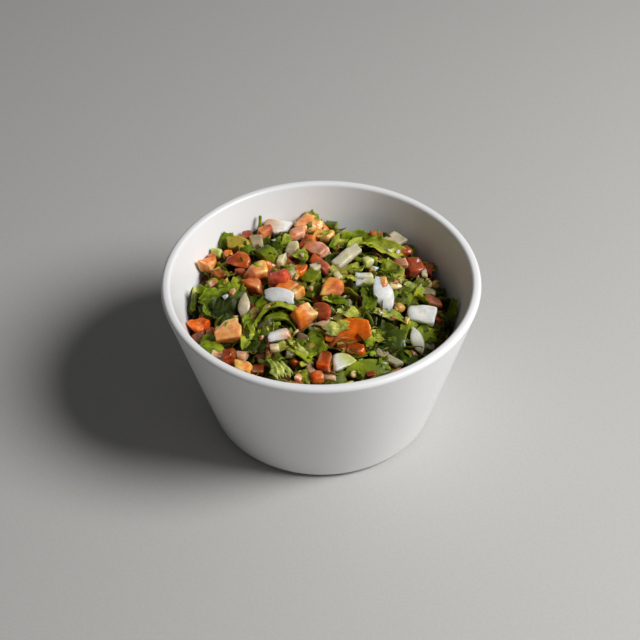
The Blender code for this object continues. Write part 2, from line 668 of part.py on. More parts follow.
def make_bowl(parts):
    """The bowl, turned from its half section."""
    bowl = turned("bowl", bowl_profile(), BOWL_SEGMENTS)
    parts.objects.link(bowl)
    applied(bowl)
    bowl.data.shade_smooth()
    bowl.data.set_sharp_from_angle(angle=math.radians(40))
    dress(bowl, finish("white_porcelain", (0.86, 0.85, 0.83), 0.22))


def make_heap(parts):
    """The heap: its core, and the listed and the filling pieces fused on."""
    heap = heap_core("pico_heap")
    parts.objects.link(heap)
    applied(heap)
    shape_core_top(heap)
    pieces = bpy.data.collections.new("pieces")
    bpy.context.scene.collection.children.link(pieces)
    for number, bit in enumerate(list(LISTED) + fill_bits()):
        obj = piece(bit, number)
        pieces.objects.link(obj)
        stand(bit, obj)
    fuse(heap, pieces)
    dress(heap, finish("chopped_salad", (0.55, 0.30, 0.12), 0.35))


def main():
    """Clears the scene, then makes the bowl and the heap in it."""
    for obj in list(bpy.data.objects):
        bpy.data.objects.remove(obj)
    parts = bpy.data.collections.new("pico_de_gallo")
    bpy.context.scene.collection.children.link(parts)
    make_bowl(parts)
    make_heap(parts)


main()
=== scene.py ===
"""Pico de gallo in a small white bowl: chopped tomato, onion, green pepper, herb leaves and seeds in a heap.

Every length below is in millimetres and every angle in degrees, and MM turns a length into metres as a mesh
is made. Only the light's depth and the relief in a finish are in metres, and a pattern's scale is for each
metre, as the shader takes them. The origin is the middle of the bowl's underside, +Z is up and the viewer
stands on the -Y side.
"""

import logging
import math
import random
from dataclasses import dataclass, field
from enum import Enum
from functools import cache, partial

import bpy
import numpy as np
from mathutils import Matrix, Vector
from mathutils.bvhtree import BVHTree


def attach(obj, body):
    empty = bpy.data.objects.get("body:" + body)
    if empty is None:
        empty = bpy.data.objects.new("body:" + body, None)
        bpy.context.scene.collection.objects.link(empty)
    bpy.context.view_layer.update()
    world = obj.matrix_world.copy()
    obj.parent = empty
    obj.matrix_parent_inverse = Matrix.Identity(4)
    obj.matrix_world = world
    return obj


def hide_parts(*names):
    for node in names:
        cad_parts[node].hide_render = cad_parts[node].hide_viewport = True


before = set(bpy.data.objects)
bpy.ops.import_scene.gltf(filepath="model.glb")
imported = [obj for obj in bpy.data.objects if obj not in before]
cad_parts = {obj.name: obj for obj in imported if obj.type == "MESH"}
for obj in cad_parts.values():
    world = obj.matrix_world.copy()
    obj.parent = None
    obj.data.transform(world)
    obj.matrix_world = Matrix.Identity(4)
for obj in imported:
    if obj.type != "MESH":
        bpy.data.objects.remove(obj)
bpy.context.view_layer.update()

MM = 0.001
BRIGHTEN = 1.05
BRIGHTEST = 0.92
GOLDEN_TURN = math.pi * (3 - math.sqrt(5))
HERB_THICKNESS = 0.5
log = logging.getLogger("pico")


class Tone(Enum):
    """Colours of the cut food as they look under the studio light, 0 to 255."""

    PEACH = (244, 164, 98)
    SALMON = (216, 130, 78)
    GOLD = (226, 148, 62)
    ORANGE = (218, 108, 16)
    RUST = (176, 74, 12)
    RED = (204, 94, 70)
    BRICK = (140, 62, 32)
    PLUM = (158, 86, 58)
    BROWN = (112, 52, 12)
    MUSTARD = (178, 156, 56)
    WHITE = (236, 235, 226)
    CREAM = (222, 206, 160)
    PEARL = (200, 192, 164)
    VEIL = (198, 174, 146)
    SMOKE = (158, 147, 112)
    BLUSH = (206, 158, 124)
    PALE = (190, 196, 110)
    LIME = (180, 182, 68)
    FRESH = (140, 154, 34)
    GREEN = (102, 122, 10)
    DEEP = (70, 86, 2)
    # Leaf green as it looks in shade, a painted shade for leaves that lie in the dark gaps.
    NIGHT = (40, 50, 6)
    STRAW = (226, 200, 136)
    OCHRE = (196, 150, 76)


class Food(Enum):
    """What a piece is cut from."""

    TOMATO = "tomato_dice"
    ONION = "onion_cuts"
    PEPPER = "pepper_cuts"
    HERB = "herb_leaves"
    PIP = "seeds"


class Cut(Enum):
    """How a piece is cut."""

    DICE = 1
    SLAB = 2
    STRIP = 3
    LEAF = 4
    FAN = 5
    SEED = 6


class Edge(Enum):
    """How the edge of a piece runs."""

    SMOOTH = 1
    FRILLED = 2
    TORN = 3
    LENS = 4
    PETAL = 5
    SOFT = 6


(PEACH, SALMON, GOLD, ORANGE, RUST, RED, BRICK, PLUM, BROWN, MUSTARD, WHITE, CREAM) = tuple(Tone)[:12]
(PEARL, VEIL, SMOKE, BLUSH, PALE, LIME, FRESH, GREEN, DEEP, NIGHT, STRAW, OCHRE) = tuple(Tone)[12:]
SMOOTH, FRILLED, TORN, LENS, PETAL, SOFT = Edge
DICE, SLAB, STRIP, LEAF, FAN, SEED = Cut
TOMATO, ONION, PEPPER, HERB, PIP = Food


def linear(tone: Tone) -> np.ndarray:
    """Light that a tone reflects, as three shares.

    Args:
        tone: The colour as it looks.

    Returns:
        Red, green and blue, 0 to 1, without the display's curve.
    """
    shares = np.array(tone.value) / 255
    plain = np.where(shares <= 0.04045, shares / 12.92, ((shares + 0.055) / 1.055) ** 2.4)
    return np.minimum(plain * BRIGHTEN, BRIGHTEST)


@dataclass(frozen=True)
class BowlForm:
    """Sizes of the bowl: a straight flared wall on a small foot ring."""

    height: float = 58.5
    rim_radius: float = 54.92
    base_radius: float = 39.6
    rim_round: float = 1.4
    mouth_radius: float = 52.0
    inner_flare: float = 0.29
    base_round: float = 4.0
    floor_height: float = 6.0
    floor_round: float = 9.0
    foot_inner_radius: float = 31.0
    foot_recess: float = 1.2
    foot_chamfer: float = 0.8

    @property
    def shoulder(self) -> float:
        """Height where the rim starts to round over."""
        return self.height - self.rim_round

    @property
    def outer_flare(self) -> float:
        """Growth of the outer radius with height."""
        return (self.rim_radius - self.base_radius) / self.shoulder

    @property
    def floor_turn(self) -> tuple[float, float]:
        """Centre of the rounding between the floor and the wall, as radius and height."""
        height = self.floor_height + self.floor_round
        return self.inner_radius(height) - self.floor_round * math.hypot(1, self.inner_flare), height

    def inner_radius(self, z: float | np.ndarray) -> float | np.ndarray:
        """Radius of the inner wall at height z."""
        return self.mouth_radius - self.inner_flare * (self.height - z)


@dataclass(frozen=True)
class HeapForm:
    """Sizes of the heap: a low dome that leans to the back left."""

    wall_level: float = 42.0
    dome_rise: float = 4.5
    lean_back: float = 1.5
    lean_left: float = 1.0
    level_radius: float = 47.0
    bump_rise: float = 2.2
    bump_x: float = -20.0
    bump_y: float = 30.0
    bump_spread: float = 14.0
    bed_spread: float = 4.5
    bed_calm: float = 0.3
    piece_gap: float = 0.45

    def level(self, x: float | np.ndarray, y: float | np.ndarray) -> float | np.ndarray:
        """Height at which the middle of a piece lies when its lift is zero."""
        dome = self.dome_rise * (1 - (x * x + y * y) / self.level_radius**2)
        lean = (self.lean_back * y - self.lean_left * x) / self.level_radius
        away = np.hypot(x - self.bump_x, y - self.bump_y) / self.bump_spread
        return self.wall_level + dome + lean + self.bump_rise * np.exp(-away * away / 2)


BOWL = BowlForm()
HEAP = HeapForm()


def linked(name: str, data: bpy.types.ID) -> bpy.types.Object:
    """Object of a mesh, a light or a camera, put in the scene.

    Args:
        name: The object's name.
        data: What it shows.

    Returns:
        The object.
    """
    obj = bpy.data.objects.new(name, data)
    bpy.context.scene.collection.objects.link(obj)
    return obj


def mesh_object(
    name: str,
    points: list | np.ndarray,
    faces: list,
    material: bpy.types.Material,
    layers: dict[str, np.ndarray] | None = None,
) -> bpy.types.Object:
    """Smooth mesh in the scene.

    Args:
        name: Its name.
        points: Its points, in millimetres.
        faces: Its faces, as lists of point numbers.
        material: What it wears.
        layers: Values for each point by the layer's name, which the material reads.

    Returns:
        The object.
    """
    mesh = bpy.data.meshes.new(name)
    mesh.from_pydata((np.asarray(points, dtype=float) * MM).tolist(), [], faces)
    for layer, values in (layers or {}).items():
        full = np.ones((len(values), 4), dtype=np.float32)
        full[:, : values.shape[1]] = values
        mesh.attributes.new(layer, "FLOAT_COLOR", "POINT").data.foreach_set("color", full.ravel())
    mesh.shade_smooth()
    mesh.materials.append(material)
    return linked(name, mesh)


def ring_faces(rings: int, segments: int) -> list[tuple[int, ...]]:
    """Faces of rings of points that lie between a first and a last point.

    Args:
        rings: How many rings there are.
        segments: Points in each ring.

    Returns:
        The point numbers of each face.
    """
    faces: list[tuple[int, ...]] = []
    last = 1 + rings * segments
    for i in range(segments):
        after = (i + 1) % segments
        faces.append((0, 1 + i, 1 + after))
        for near in range(1, last - segments, segments):
            far = near + segments
            faces.append((near + i, far + i, far + after, near + after))
        faces.append((last - segments + i, last, last - segments + after))
    return faces


def rotation(axis: str, angle: float) -> Matrix:
    """Turn by an angle about an axis."""
    return Matrix.Rotation(math.radians(angle), 3, axis)


@dataclass(frozen=True)
class PhotoView:
    """The photo's view of the bowl, from in front and above, which ties its pixels to places in the bowl."""

    focal_pixels: float = 1600.0
    frame_pixels: float = 640.0
    distance: float = 562.3
    elevation: float = 42.5
    roll: float = -0.88
    aim_x: float = -0.56
    aim_z: float = 38.4
    sensor: float = 36.0
    near_end: float = 10.0
    settling_rounds: int = 20

    def axes(self) -> tuple[Vector, Vector, Vector]:
        """Directions to the right, upward and ahead of the view."""
        slope = math.radians(self.elevation)
        ahead = Vector((0, math.cos(slope), -math.sin(slope)))
        right = Matrix.Rotation(-math.radians(self.roll), 3, ahead) @ Vector((1, 0, 0))
        return right, right.cross(ahead), ahead

    def eye(self) -> Vector:
        """Place of the view's eye."""
        return Vector((self.aim_x, 0, self.aim_z)) - self.axes()[2] * self.distance

    def on_heap(self, across: float, down: float, lift: float) -> tuple[float, float]:
        """Finds what shows at a pixel and lies at a height over the heap's level.

        Args:
            across: Pixels from the photo's left edge.
            down: Pixels from its top edge.
            lift: Height over the heap's level.

        Returns:
            X and Y of the place.
        """
        right, up, ahead = self.axes()
        eye = self.eye()
        middle = self.frame_pixels / 2
        ray = ahead * self.focal_pixels + right * (across - middle) - up * (down - middle)
        z = HEAP.wall_level
        for _ in range(self.settling_rounds):
            spot = eye + ray * ((z - eye.z) / ray.z)
            z = float(HEAP.level(spot.x, spot.y)) + lift
        return spot.x, spot.y

    def camera(self) -> None:
        """Makes the camera of this view and gives it to the scene."""
        data = bpy.data.cameras.new("photo_camera")
        data.sensor_width = self.sensor
        data.lens = self.focal_pixels / self.frame_pixels * self.sensor
        data.clip_start = self.near_end * MM
        camera = linked("photo_camera", data)
        right, up, ahead = self.axes()
        turn = Matrix((right, up, -ahead)).transposed().to_4x4()
        camera.matrix_world = Matrix.Translation(self.eye() * MM) @ turn
        bpy.context.scene.camera = camera


PHOTO = PhotoView()


@dataclass(frozen=True)
class Bit:
    """One cut piece: what it is, where it lies, its size, its turns and the tones of its two ends."""

    food: Food
    cut: Cut
    x: float
    y: float
    lift: float
    size: tuple[float, float, float]
    tones: tuple[Tone, Tone]
    turn: float = 0.0
    tip: float = 0.0
    roll: float = 0.0
    bend: float = 0.0
    cup: float = 0.0
    edge: Edge = SMOOTH
    # Tone painted on a leaf's near side, as shade where the leaf turns down out of the light.
    near: Tone | None = None


def shown(
    food: Food, cut: Cut, across: float, down: float, lift: float, size: tuple, *tones: Tone, **more
) -> Bit:
    """Piece whose middle shows at a pixel of the photo.

    Args:
        food: What it is cut from.
        cut: How it is cut.
        across: Pixels from the photo's left edge.
        down: Pixels from its top edge.
        lift: Height over the heap's level.
        size: Length, width and thickness, without the thickness for a herb leaf.
        *tones: Its tone, or the tones of its two ends.
        **more: Its turns, bend, cup and edge.

    Returns:
        The piece.
    """
    x, y = PHOTO.on_heap(across, down, lift)
    return Bit(food, cut, x, y, lift, (*size, HERB_THICKNESS)[:3], (tones[0], tones[-1]), **more)


tomato, tomato_slice = partial(shown, TOMATO, DICE), partial(shown, TOMATO, SLAB)
onion, onion_slice = partial(shown, ONION, DICE), partial(shown, ONION, SLAB)
pepper, pepper_slice = partial(shown, PEPPER, DICE), partial(shown, PEPPER, SLAB)
leaf, fan = partial(shown, HERB, LEAF, bend=30.0, cup=20.0), partial(shown, HERB, FAN)
stalk, pip = partial(shown, HERB, STRIP, bend=15.0), partial(shown, PIP, SEED)

BACK_LEFT = (
    tomato(310, 227, 1.0, (11, 7.2, 7), SALMON, OCHRE, turn=10, roll=10, edge=SOFT),
    tomato(325, 238, 0.5, (6, 5, 5.5), GOLD, PEACH, turn=-20, roll=10),
    leaf(311, 215, 4.0, (6, 5), LIME, GREEN, turn=-20, tip=10, roll=30, edge=TORN),
    onion(275, 227, 1.0, (9, 6, 4.5), BLUSH, WHITE, turn=-10, roll=15, edge=SOFT),
    tomato(265, 233, 1.0, (5, 4.5, 5), SALMON, PLUM, turn=30),
    stalk(260, 224, 3.5, (6, 1.1, 0.8), GREEN, FRESH, turn=85, tip=60),
    leaf(221, 241, 3.0, (9, 5.5), NIGHT, GREEN, turn=80, tip=60, bend=60, cup=60),
    pepper(239, 246, 1.5, (8, 5.5, 6), MUSTARD, roll=10),
    onion_slice(257, 244, 0.5, (7, 4.5, 2.6), VEIL, SMOKE, turn=100, tip=20, bend=8),
    leaf(280, 244, 1.0, (9, 6), DEEP, GREEN, turn=20, bend=140, cup=0),
    leaf(287, 240, 1.5, (5, 3.5), FRESH, LIME, turn=80, tip=20),
    onion_slice(292, 251, 0.5, (7, 4.4, 3.2), VEIL, CREAM, turn=75, tip=15, bend=8, edge=PETAL),
    leaf(301, 254, 2.8, (6, 5), LIME, FRESH, turn=-30, roll=20, edge=FRILLED),
    pepper(268, 256, 2.8, (6.2, 5.4, 6.2), DEEP, FRESH, turn=-38, roll=12),
    tomato(241, 261, 2.0, (7.5, 5.5, 4.5), BRICK, RUST, turn=-10, roll=20),
    onion(217, 254, 2.0, (3.6, 3, 3.2), PALE, turn=-25, roll=20),
    tomato(228, 255, 1.5, (3.5, 3, 3.5), SALMON, ORANGE, turn=10, roll=20),
)

LEFT = (
    tomato(205, 264, 2.5, (4.5, 4.5, 5.5), PEACH, SALMON, turn=70),
    tomato(212, 261, 1.5, (4.5, 3, 3.5), BRICK, RUST, turn=80),
    stalk(221, 267, 2.0, (7.5, 1.8, 1.2), LIME, FRESH, turn=45),
    stalk(226, 273, 1.5, (4, 1.5, 1.2), FRESH, GREEN, turn=-60),
    tomato(257, 273, 2.0, (6.5, 5.5, 6), SALMON, OCHRE, turn=25, roll=5, edge=SOFT),
    tomato(241, 272, 0.0, (4.5, 4, 4), PLUM, RED, turn=-15),
    # near=DEEP paints shade on this leaf's near side.
    leaf(224, 297, 2.8, (16, 16), GREEN, FRESH, turn=16, roll=26, bend=10, cup=-90, edge=FRILLED, near=DEEP),
    leaf(207, 310, 0.5, (9, 5), NIGHT, DEEP, turn=-60, roll=20, bend=20),
    stalk(191, 298, 0.5, (12, 2.0, 0.8), GREEN, PALE, turn=88),
    stalk(196, 296, 0.0, (10, 1.5, 0.8), FRESH, GREEN, turn=80),
    tomato(200, 326, -1.0, (5.8, 5, 4.5), ORANGE, RUST, turn=-35, roll=10, edge=SOFT),
    tomato(226, 332, 2.2, (8.0, 6.6, 6.4), PEACH, turn=8, roll=27, edge=SOFT),
    onion_slice(244, 306, 2.2, (10, 3.5, 2.0), PEARL, VEIL, turn=86, tip=30, cup=-40, edge=LENS),
)

MIDDLE = (
    tomato(279, 280, 3.4, (7.4, 5, 9), RED, turn=-15, roll=8, edge=SOFT),
    onion_slice(279, 296, 3.0, (11.5, 5.6, 1.8), WHITE, turn=-14, roll=38, bend=35, edge=PETAL),
    onion(281, 262, 2.0, (4, 2.6, 4), CREAM, turn=80),
    leaf(292, 272, 2.0, (6, 5), PALE, CREAM, turn=-60, roll=20, edge=FRILLED),
    tomato(296, 291, 2.0, (5, 4, 4.5), ORANGE, PEACH, turn=-50, roll=10),
    pepper(310, 278, 0.8, (5.5, 4.5, 3.5), GREEN, FRESH, turn=-25, roll=10),
    tomato(301, 272, 1.5, (5, 4, 4), ORANGE, RUST, turn=80),
    onion(316, 269, 2.5, (3.5, 3, 3), CREAM, turn=20),
    tomato(308, 243, 2.5, (5, 4.5, 4.5), RUST, SALMON, turn=-30, roll=20),
    tomato(316, 251, 2.0, (8, 5, 5), SALMON, BLUSH, turn=-35, roll=15),
    tomato(320, 265, 2.5, (9.5, 4, 3.5), RUST, PLUM, turn=-42, roll=10),
    tomato(304, 316, 3.0, (7, 6, 6.8), ORANGE, PEACH, turn=35, roll=5),
    tomato(322, 314, 1.5, (7, 6, 6), BROWN, BRICK, turn=-15, roll=10, edge=SOFT),
    onion(320, 331, -0.5, (7, 5, 3.5), SMOKE, BLUSH, turn=10, roll=10),
    leaf(318, 292, 0.5, (10, 5), DEEP, GREEN, turn=10, roll=10, edge=TORN),
    leaf(337, 302, 0.5, (9, 5.5), DEEP, GREEN, turn=-15, roll=10, edge=FRILLED),
)

CURL = (
    leaf(281, 306, 4.6, (32, 4.8), FRESH, LIME, turn=-6, roll=-32, bend=235, cup=20),
    leaf(266, 302, 1.0, (8, 5), GREEN, FRESH, turn=20, roll=20),
    leaf(287, 307, 1.5, (8, 4), LIME, turn=12, roll=20),
    leaf(292, 323, 1.0, (7, 4), GREEN, FRESH, turn=90, tip=20),
    onion(280, 336, 2.2, (7.6, 3.4, 1.8), WHITE, SALMON, turn=12, roll=25),
    leaf(271, 328, 1.0, (6, 3), LIME, PALE, turn=90, tip=20),
    leaf(258, 342, 1.0, (10, 10), NIGHT, DEEP, turn=88, tip=10, bend=10, cup=-120),
    leaf(244, 340, 0.0, (9, 2.5), FRESH, PALE, turn=86, tip=10),
    leaf(311, 343, 2.2, (10, 9), GREEN, FRESH, turn=-60, roll=15, bend=30, cup=-30),
    leaf(247, 324, 1.5, (11, 5), FRESH, GREEN, turn=75, tip=10, bend=50),
    leaf(234, 315, 0.0, (10, 6), NIGHT, DEEP, turn=60),
    leaf(269, 319, 0.3, (10, 6), NIGHT, turn=10, cup=-30),
    leaf(299, 332, 0.5, (8, 6), GREEN, FRESH, turn=40, edge=TORN),
)

FRONT_LEFT = (
    leaf(211, 347, 0.5, (10, 5), GREEN, FRESH, turn=-25, roll=20, bend=40, cup=-30),
    tomato(231, 356, 0.5, (4.5, 4.5, 4.5), BRICK, BROWN, turn=10),
    onion(242, 356, 0.5, (3.5, 3, 3), BLUSH),
    tomato(218, 355, -1.0, (4, 3, 2.5), BLUSH),
    tomato(243, 368, 0.5, (6.5, 4.5, 3.5), GOLD, PEACH, turn=-30),
    tomato(258, 371, -2.0, (5, 4.5, 4), BROWN),
)

FRONT_MIDDLE = (
    fan(280, 367, 1.5, (10, 8, 0.8), PALE, FRESH, turn=115, roll=20, bend=20),
    onion(275, 349, 1.0, (3, 2.5, 3), BLUSH, CREAM),
    leaf(282, 346, 1.5, (6, 4.5), LIME, turn=20, edge=FRILLED),
    onion(291, 353, 0.5, (3, 3, 2), SMOKE),
    stalk(300, 353, 2.0, (11, 2.8, 0.8), LIME, FRESH, turn=-42, bend=45),
    leaf(308, 377, 0.5, (6, 5), FRESH, LIME, roll=20, edge=TORN),
    stalk(307, 363, 1.0, (5, 2.5, 0.8), LIME, BLUSH, turn=10, bend=30),
    onion(311, 372, 1.0, (3.5, 2, 3), BLUSH, turn=-45),
    tomato(299, 377, 0.3, (4, 2.4, 2.4), BLUSH, RUST, turn=70, roll=20),
    tomato(325, 362, 2.0, (8, 4.6, 5), RUST, BROWN, turn=75),
    onion(329, 377, 0.5, (4.5, 4, 3.5), BLUSH),
)

BACK_RIGHT = (
    onion_slice(347, 257, 3.0, (12, 4.4, 3.0), PEARL, turn=45, tip=8, bend=8),
    leaf(378, 247, 2.5, (19, 9), FRESH, LIME, turn=-30, roll=20, bend=60, cup=30),
    leaf(338, 244, 1.0, (8, 6), GREEN, LIME, turn=60, edge=TORN),
    onion(342, 235, 1.5, (5, 2.5, 3), BLUSH, SMOKE, turn=50),
    stalk(374, 239, 2.5, (6, 2.4, 1.2), BROWN, RUST, turn=100, tip=50),
    stalk(378, 239, 2.5, (6, 2, 0.8), DEEP, GREEN, turn=100, tip=50, bend=30),
    onion_slice(392, 242, 2.6, (9.2, 5.6, 2.2), VEIL, PEARL, turn=42, roll=14, bend=8),
    leaf(408, 249, 1.0, (6, 4.5), NIGHT, DEEP, turn=-50, bend=20, cup=30),
    tomato(405, 253, 1.5, (5, 4.2, 4.2), SALMON, PLUM),
    leaf(397, 248, 1.5, (5, 4), FRESH, GREEN, turn=20),
    onion(400, 265, 1.5, (5, 4, 3.5), PLUM, BLUSH, turn=10),
    tomato(415, 270, 1.0, (6.6, 5.5, 5.5), BRICK, PLUM, turn=20, edge=SOFT),
    tomato(429, 269, -0.5, (5.5, 5, 4.5), BRICK, turn=-20),
    onion_slice(424, 273, 1.5, (4, 2, 2.4), CREAM, PEARL, turn=95, tip=20, bend=8),
    leaf(352, 239, 1.5, (10, 6.5), FRESH, GREEN, turn=25, roll=20, edge=TORN),
    leaf(364, 259, 1.0, (10, 6), GREEN, FRESH, turn=-20, roll=10),
    leaf(387, 258, 1.5, (10, 6), LIME, FRESH, turn=-10, roll=15),
)

RIGHT = (
    pip(428, 283, -0.4, (4.3, 2.6, 2.4), STRAW, turn=100, tip=20),
    pip(436, 284, -0.6, (4.3, 3.2, 2.4), OCHRE, turn=60, roll=20),
    leaf(392, 271, 2.6, (9.5, 7), FRESH, LIME, turn=-25, roll=32, bend=20),
    pip(395, 286, 3.4, (5, 3.2, 2.6), STRAW, CREAM, turn=-5),
    onion_slice(384, 295, 3.5, (14.5, 6.4, 1.9), WHITE, turn=114, tip=30, cup=-35, edge=LENS),
    tomato(384, 283, 5.6, (4.8, 2.6, 1.8), PEACH, turn=100, tip=35),
    onion_slice(364, 277, 1.5, (6.5, 2.4, 3), WHITE, CREAM, bend=8),
    onion_slice(365, 284, 1.5, (7, 2.4, 3), WHITE, PALE, bend=8),
    onion(368, 263, 1.2, (3.5, 3, 3.6), PALE, CREAM, turn=30),
    leaf(368, 299, 2.5, (11, 6.5), GREEN, DEEP, turn=100, tip=20, bend=60, cup=30, edge=FRILLED),
    leaf(356, 268, 0.4, (6, 5), FRESH, LIME, turn=50),
    fan(348, 278, 1.5, (6, 4, 0.6), FRESH, LIME, bend=10),
    tomato(334, 288, 2.5, (6.4, 6, 7.6), PEACH, SALMON, turn=-4, roll=22),
    leaf(327, 294, 2.5, (6, 3.5), FRESH, GREEN, turn=-60, roll=20),
    stalk(335, 273, 3.0, (7, 2.4, 2.4), LIME, CREAM, turn=-65, bend=30),
    leaf(380, 309, 1.0, (10, 6), PALE, FRESH, turn=70, roll=10, edge=FRILLED),
    leaf(402, 299, 0.5, (9, 6), GREEN, FRESH, turn=20, edge=TORN),
)

FRONT_RIGHT = (
    leaf(348, 311, 1.5, (8, 5.5), PALE, LIME, turn=-10, edge=FRILLED),
    tomato_slice(348, 331, 3.4, (15.5, 8, 1.4), ORANGE, turn=8, roll=38, bend=-25, cup=-35, edge=PETAL),
    leaf(337, 328, 5.6, (8.5, 5.2), PALE, LIME, turn=15, roll=36, bend=20, edge=FRILLED),
    leaf(388, 316, 2.0, (11, 6), PALE, FRESH, turn=-20, roll=10, cup=40, edge=FRILLED),
    pip(400, 308, 2.0, (3.8, 3.8, 3.6), OCHRE),
    onion(421, 316, 2.0, (11, 6.4, 5.2), WHITE, turn=-15, roll=20, edge=SOFT),
    leaf(416, 294, 1.2, (8, 5), LIME, FRESH, turn=60, tip=10, cup=-40),
    leaf(411, 286, 0.8, (7, 5.5), PALE, GREEN, turn=-60, cup=-40, edge=FRILLED),
    onion(430, 293, 0.5, (4, 3, 2), SMOKE),
    tomato(434, 304, 0.0, (5, 4.5, 4), PLUM),
    onion_slice(417, 341, 1.5, (11, 3.8, 2.4), PEARL, WHITE, turn=105, tip=18, cup=-30, edge=LENS),
    leaf(427, 333, 1.0, (9, 7.5), GREEN, FRESH, turn=60, roll=30, bend=40, cup=-50),
    onion(429, 348, -1.0, (3.5, 3, 2), SMOKE),
    pepper_slice(394, 341, 0.4, (9.5, 8.5, 2), NIGHT, DEEP, turn=10, roll=30, bend=40, cup=-60),
    leaf(371, 338, 1.3, (7.5, 6.5), FRESH, LIME, turn=30, roll=20, cup=-30, edge=FRILLED),
    tomato(347, 348, -0.1, (8, 5.5, 4), BROWN),
    onion(341, 362, 2.0, (6.5, 5.5, 4.5), WHITE, PALE, turn=30, roll=10),
    leaf(334, 369, 1.0, (4, 4), GREEN, roll=30),
    pepper_slice(367, 369, 1.0, (15, 6.5, 2), FRESH, GREEN, turn=5, roll=35, bend=30, edge=PETAL),
    pip(355, 374, 1.2, (3.4, 2.4, 1.8), STRAW, turn=20, roll=30),
    tomato(371, 375, 1.0, (3, 2.5, 2), BRICK),
    onion_slice(391, 360, -0.2, (7.5, 3, 1.8), SMOKE, PEARL, turn=-42, bend=8),
    onion(381, 355, -0.2, (3.5, 2.5, 2), SMOKE, turn=-30),
    leaf(454, 313, 2.5, (10, 4), DEEP, GREEN, turn=70, tip=40, bend=20, cup=30),
    leaf(378, 353, 0.3, (4, 3.5), DEEP, turn=80, bend=20),
    leaf(384, 329, 0.3, (9, 6), NIGHT, DEEP, turn=-20),
    leaf(357, 353, 0.0, (8, 6), DEEP, GREEN, turn=20),
)

EXTRA = (
    leaf(225, 308, 2.4, (9, 9), NIGHT, turn=10, roll=50, bend=20, cup=-30, edge=TORN),
    leaf(206, 306, 2.2, (9, 5), GREEN, DEEP, turn=105, tip=-10, roll=30, bend=15, cup=20),
    leaf(281, 314, 3.6, (27, 3.6), GREEN, FRESH, turn=-8, roll=-36, bend=225, cup=15),
    leaf(282, 320, 2.4, (22, 3.2), GREEN, DEEP, turn=-10, roll=-42, bend=215, cup=15),
    leaf(248, 333, 2.0, (14, 4), FRESH, LIME, turn=80, roll=25, bend=35, cup=20),
    leaf(296, 345, 2.6, (12, 2.2), LIME, PALE, turn=-50, roll=20, bend=60, cup=20),
    leaf(316, 352, 1.8, (8, 6), GREEN, FRESH, turn=-35, roll=25, bend=40, cup=-40, edge=FRILLED),
    leaf(372, 288, 2.6, (9, 5), GREEN, FRESH, turn=120, roll=20, bend=50, cup=-30, edge=FRILLED),
    leaf(356, 245, 3.0, (9, 5), FRESH, LIME, turn=45, roll=15, bend=50, cup=30),
    leaf(268, 313, 0.6, (10, 8), NIGHT, turn=10, cup=-50),
    leaf(440, 318, -0.6, (10, 7), NIGHT, DEEP, turn=75, roll=-20, cup=-40),
    leaf(212, 340, 0.2, (8, 4.5), GREEN, DEEP, turn=-20, roll=15, bend=30),
    leaf(404, 356, -0.2, (9, 6), NIGHT, DEEP, turn=-35, roll=10, bend=30, cup=30),
    leaf(418, 361, -0.6, (8, 5), DEEP, NIGHT, turn=40, roll=15),
    leaf(389, 349, -0.4, (9, 6), NIGHT, turn=15, bend=20, cup=-30),
    leaf(400, 282, 2.2, (6, 4.5), PALE, FRESH, turn=30, roll=15, bend=60, cup=30, edge=FRILLED),
)

TUCKED = (
    tomato(296, 235, 1.4, (5.8, 4.6, 4.6), SALMON, BLUSH, turn=20, roll=15, edge=SOFT),
    tomato(253, 285, 1.2, (7, 5.2, 5), RUST, SALMON, turn=-25, roll=10, edge=SOFT),
    tomato(222, 275, 0.6, (5.2, 4.2, 4), BROWN, PLUM, turn=30, roll=10),
    tomato(288, 288, 2.2, (7.4, 5.6, 5), ORANGE, SALMON, turn=-35, roll=10, edge=SOFT),
    tomato(247, 236, 0.9, (5, 4, 4), BRICK, BROWN, turn=10),
    tomato(270, 266, 0.8, (5, 4, 4), ORANGE, SALMON, turn=40, roll=10),
    tomato(357, 350, 0.2, (6, 4.5, 4), BROWN, RUST, turn=-10, edge=SOFT),
    tomato(318, 378, 0.6, (4.6, 3.6, 3.6), RUST, SALMON, turn=15),
)

LISTED = BACK_LEFT + LEFT + MIDDLE + CURL + FRONT_LEFT + FRONT_MIDDLE + BACK_RIGHT + RIGHT + FRONT_RIGHT
LISTED_X, LISTED_Y, LISTED_LIFT = np.array([(bit.x, bit.y, bit.lift) for bit in LISTED]).T

LEAF_PAIRS = ((GREEN, FRESH), (DEEP, GREEN), (FRESH, LIME), (NIGHT, DEEP), (DEEP, FRESH), (MUSTARD, LIME))
LEAF_PAIRS += ((GREEN, MUSTARD),)
TOMATO_PAIRS = ((ORANGE, SALMON), (RUST, SALMON), (PLUM, BLUSH), (PLUM, SALMON), (BRICK, PLUM))
TOMATO_PAIRS += ((SALMON, PEACH),)
ONION_PAIRS = ((PEARL, SMOKE), (BLUSH, PEARL), (CREAM, PEARL), (SMOKE, BLUSH))
SCRAP_PAIRS = ((LIME, FRESH), (FRESH, GREEN), (GREEN, DEEP))
ONION_CRUMB_PAIRS = ((CREAM, WHITE), (PALE, CREAM), (BLUSH, CREAM))
PULP_PAIRS = ((OCHRE, CREAM), (MUSTARD, STRAW), (PLUM, BLUSH))


def bed_rise(x: float, y: float) -> float:
    """Rise of the bed under the pieces over the level: the mean lift of the listed pieces round about."""
    away = np.hypot(x - LISTED_X, y - LISTED_Y) / HEAP.bed_spread
    weights = np.exp(-away * away / 2)
    return float((weights * LISTED_LIFT).sum() / (HEAP.bed_calm + weights.sum()))


def spun(rng: random.Random, turn: float, tip: float, roll: float) -> dict[str, float]:
    """Drawn turns of a piece, from the most of each."""
    return {"turn": rng.uniform(0, turn), "tip": rng.uniform(-tip, tip), "roll": rng.uniform(-roll, roll)}


def scaled(sides: tuple[float, ...], size: float) -> tuple[float, ...]:
    """Sides times a size."""
    return tuple(side * size for side in sides)


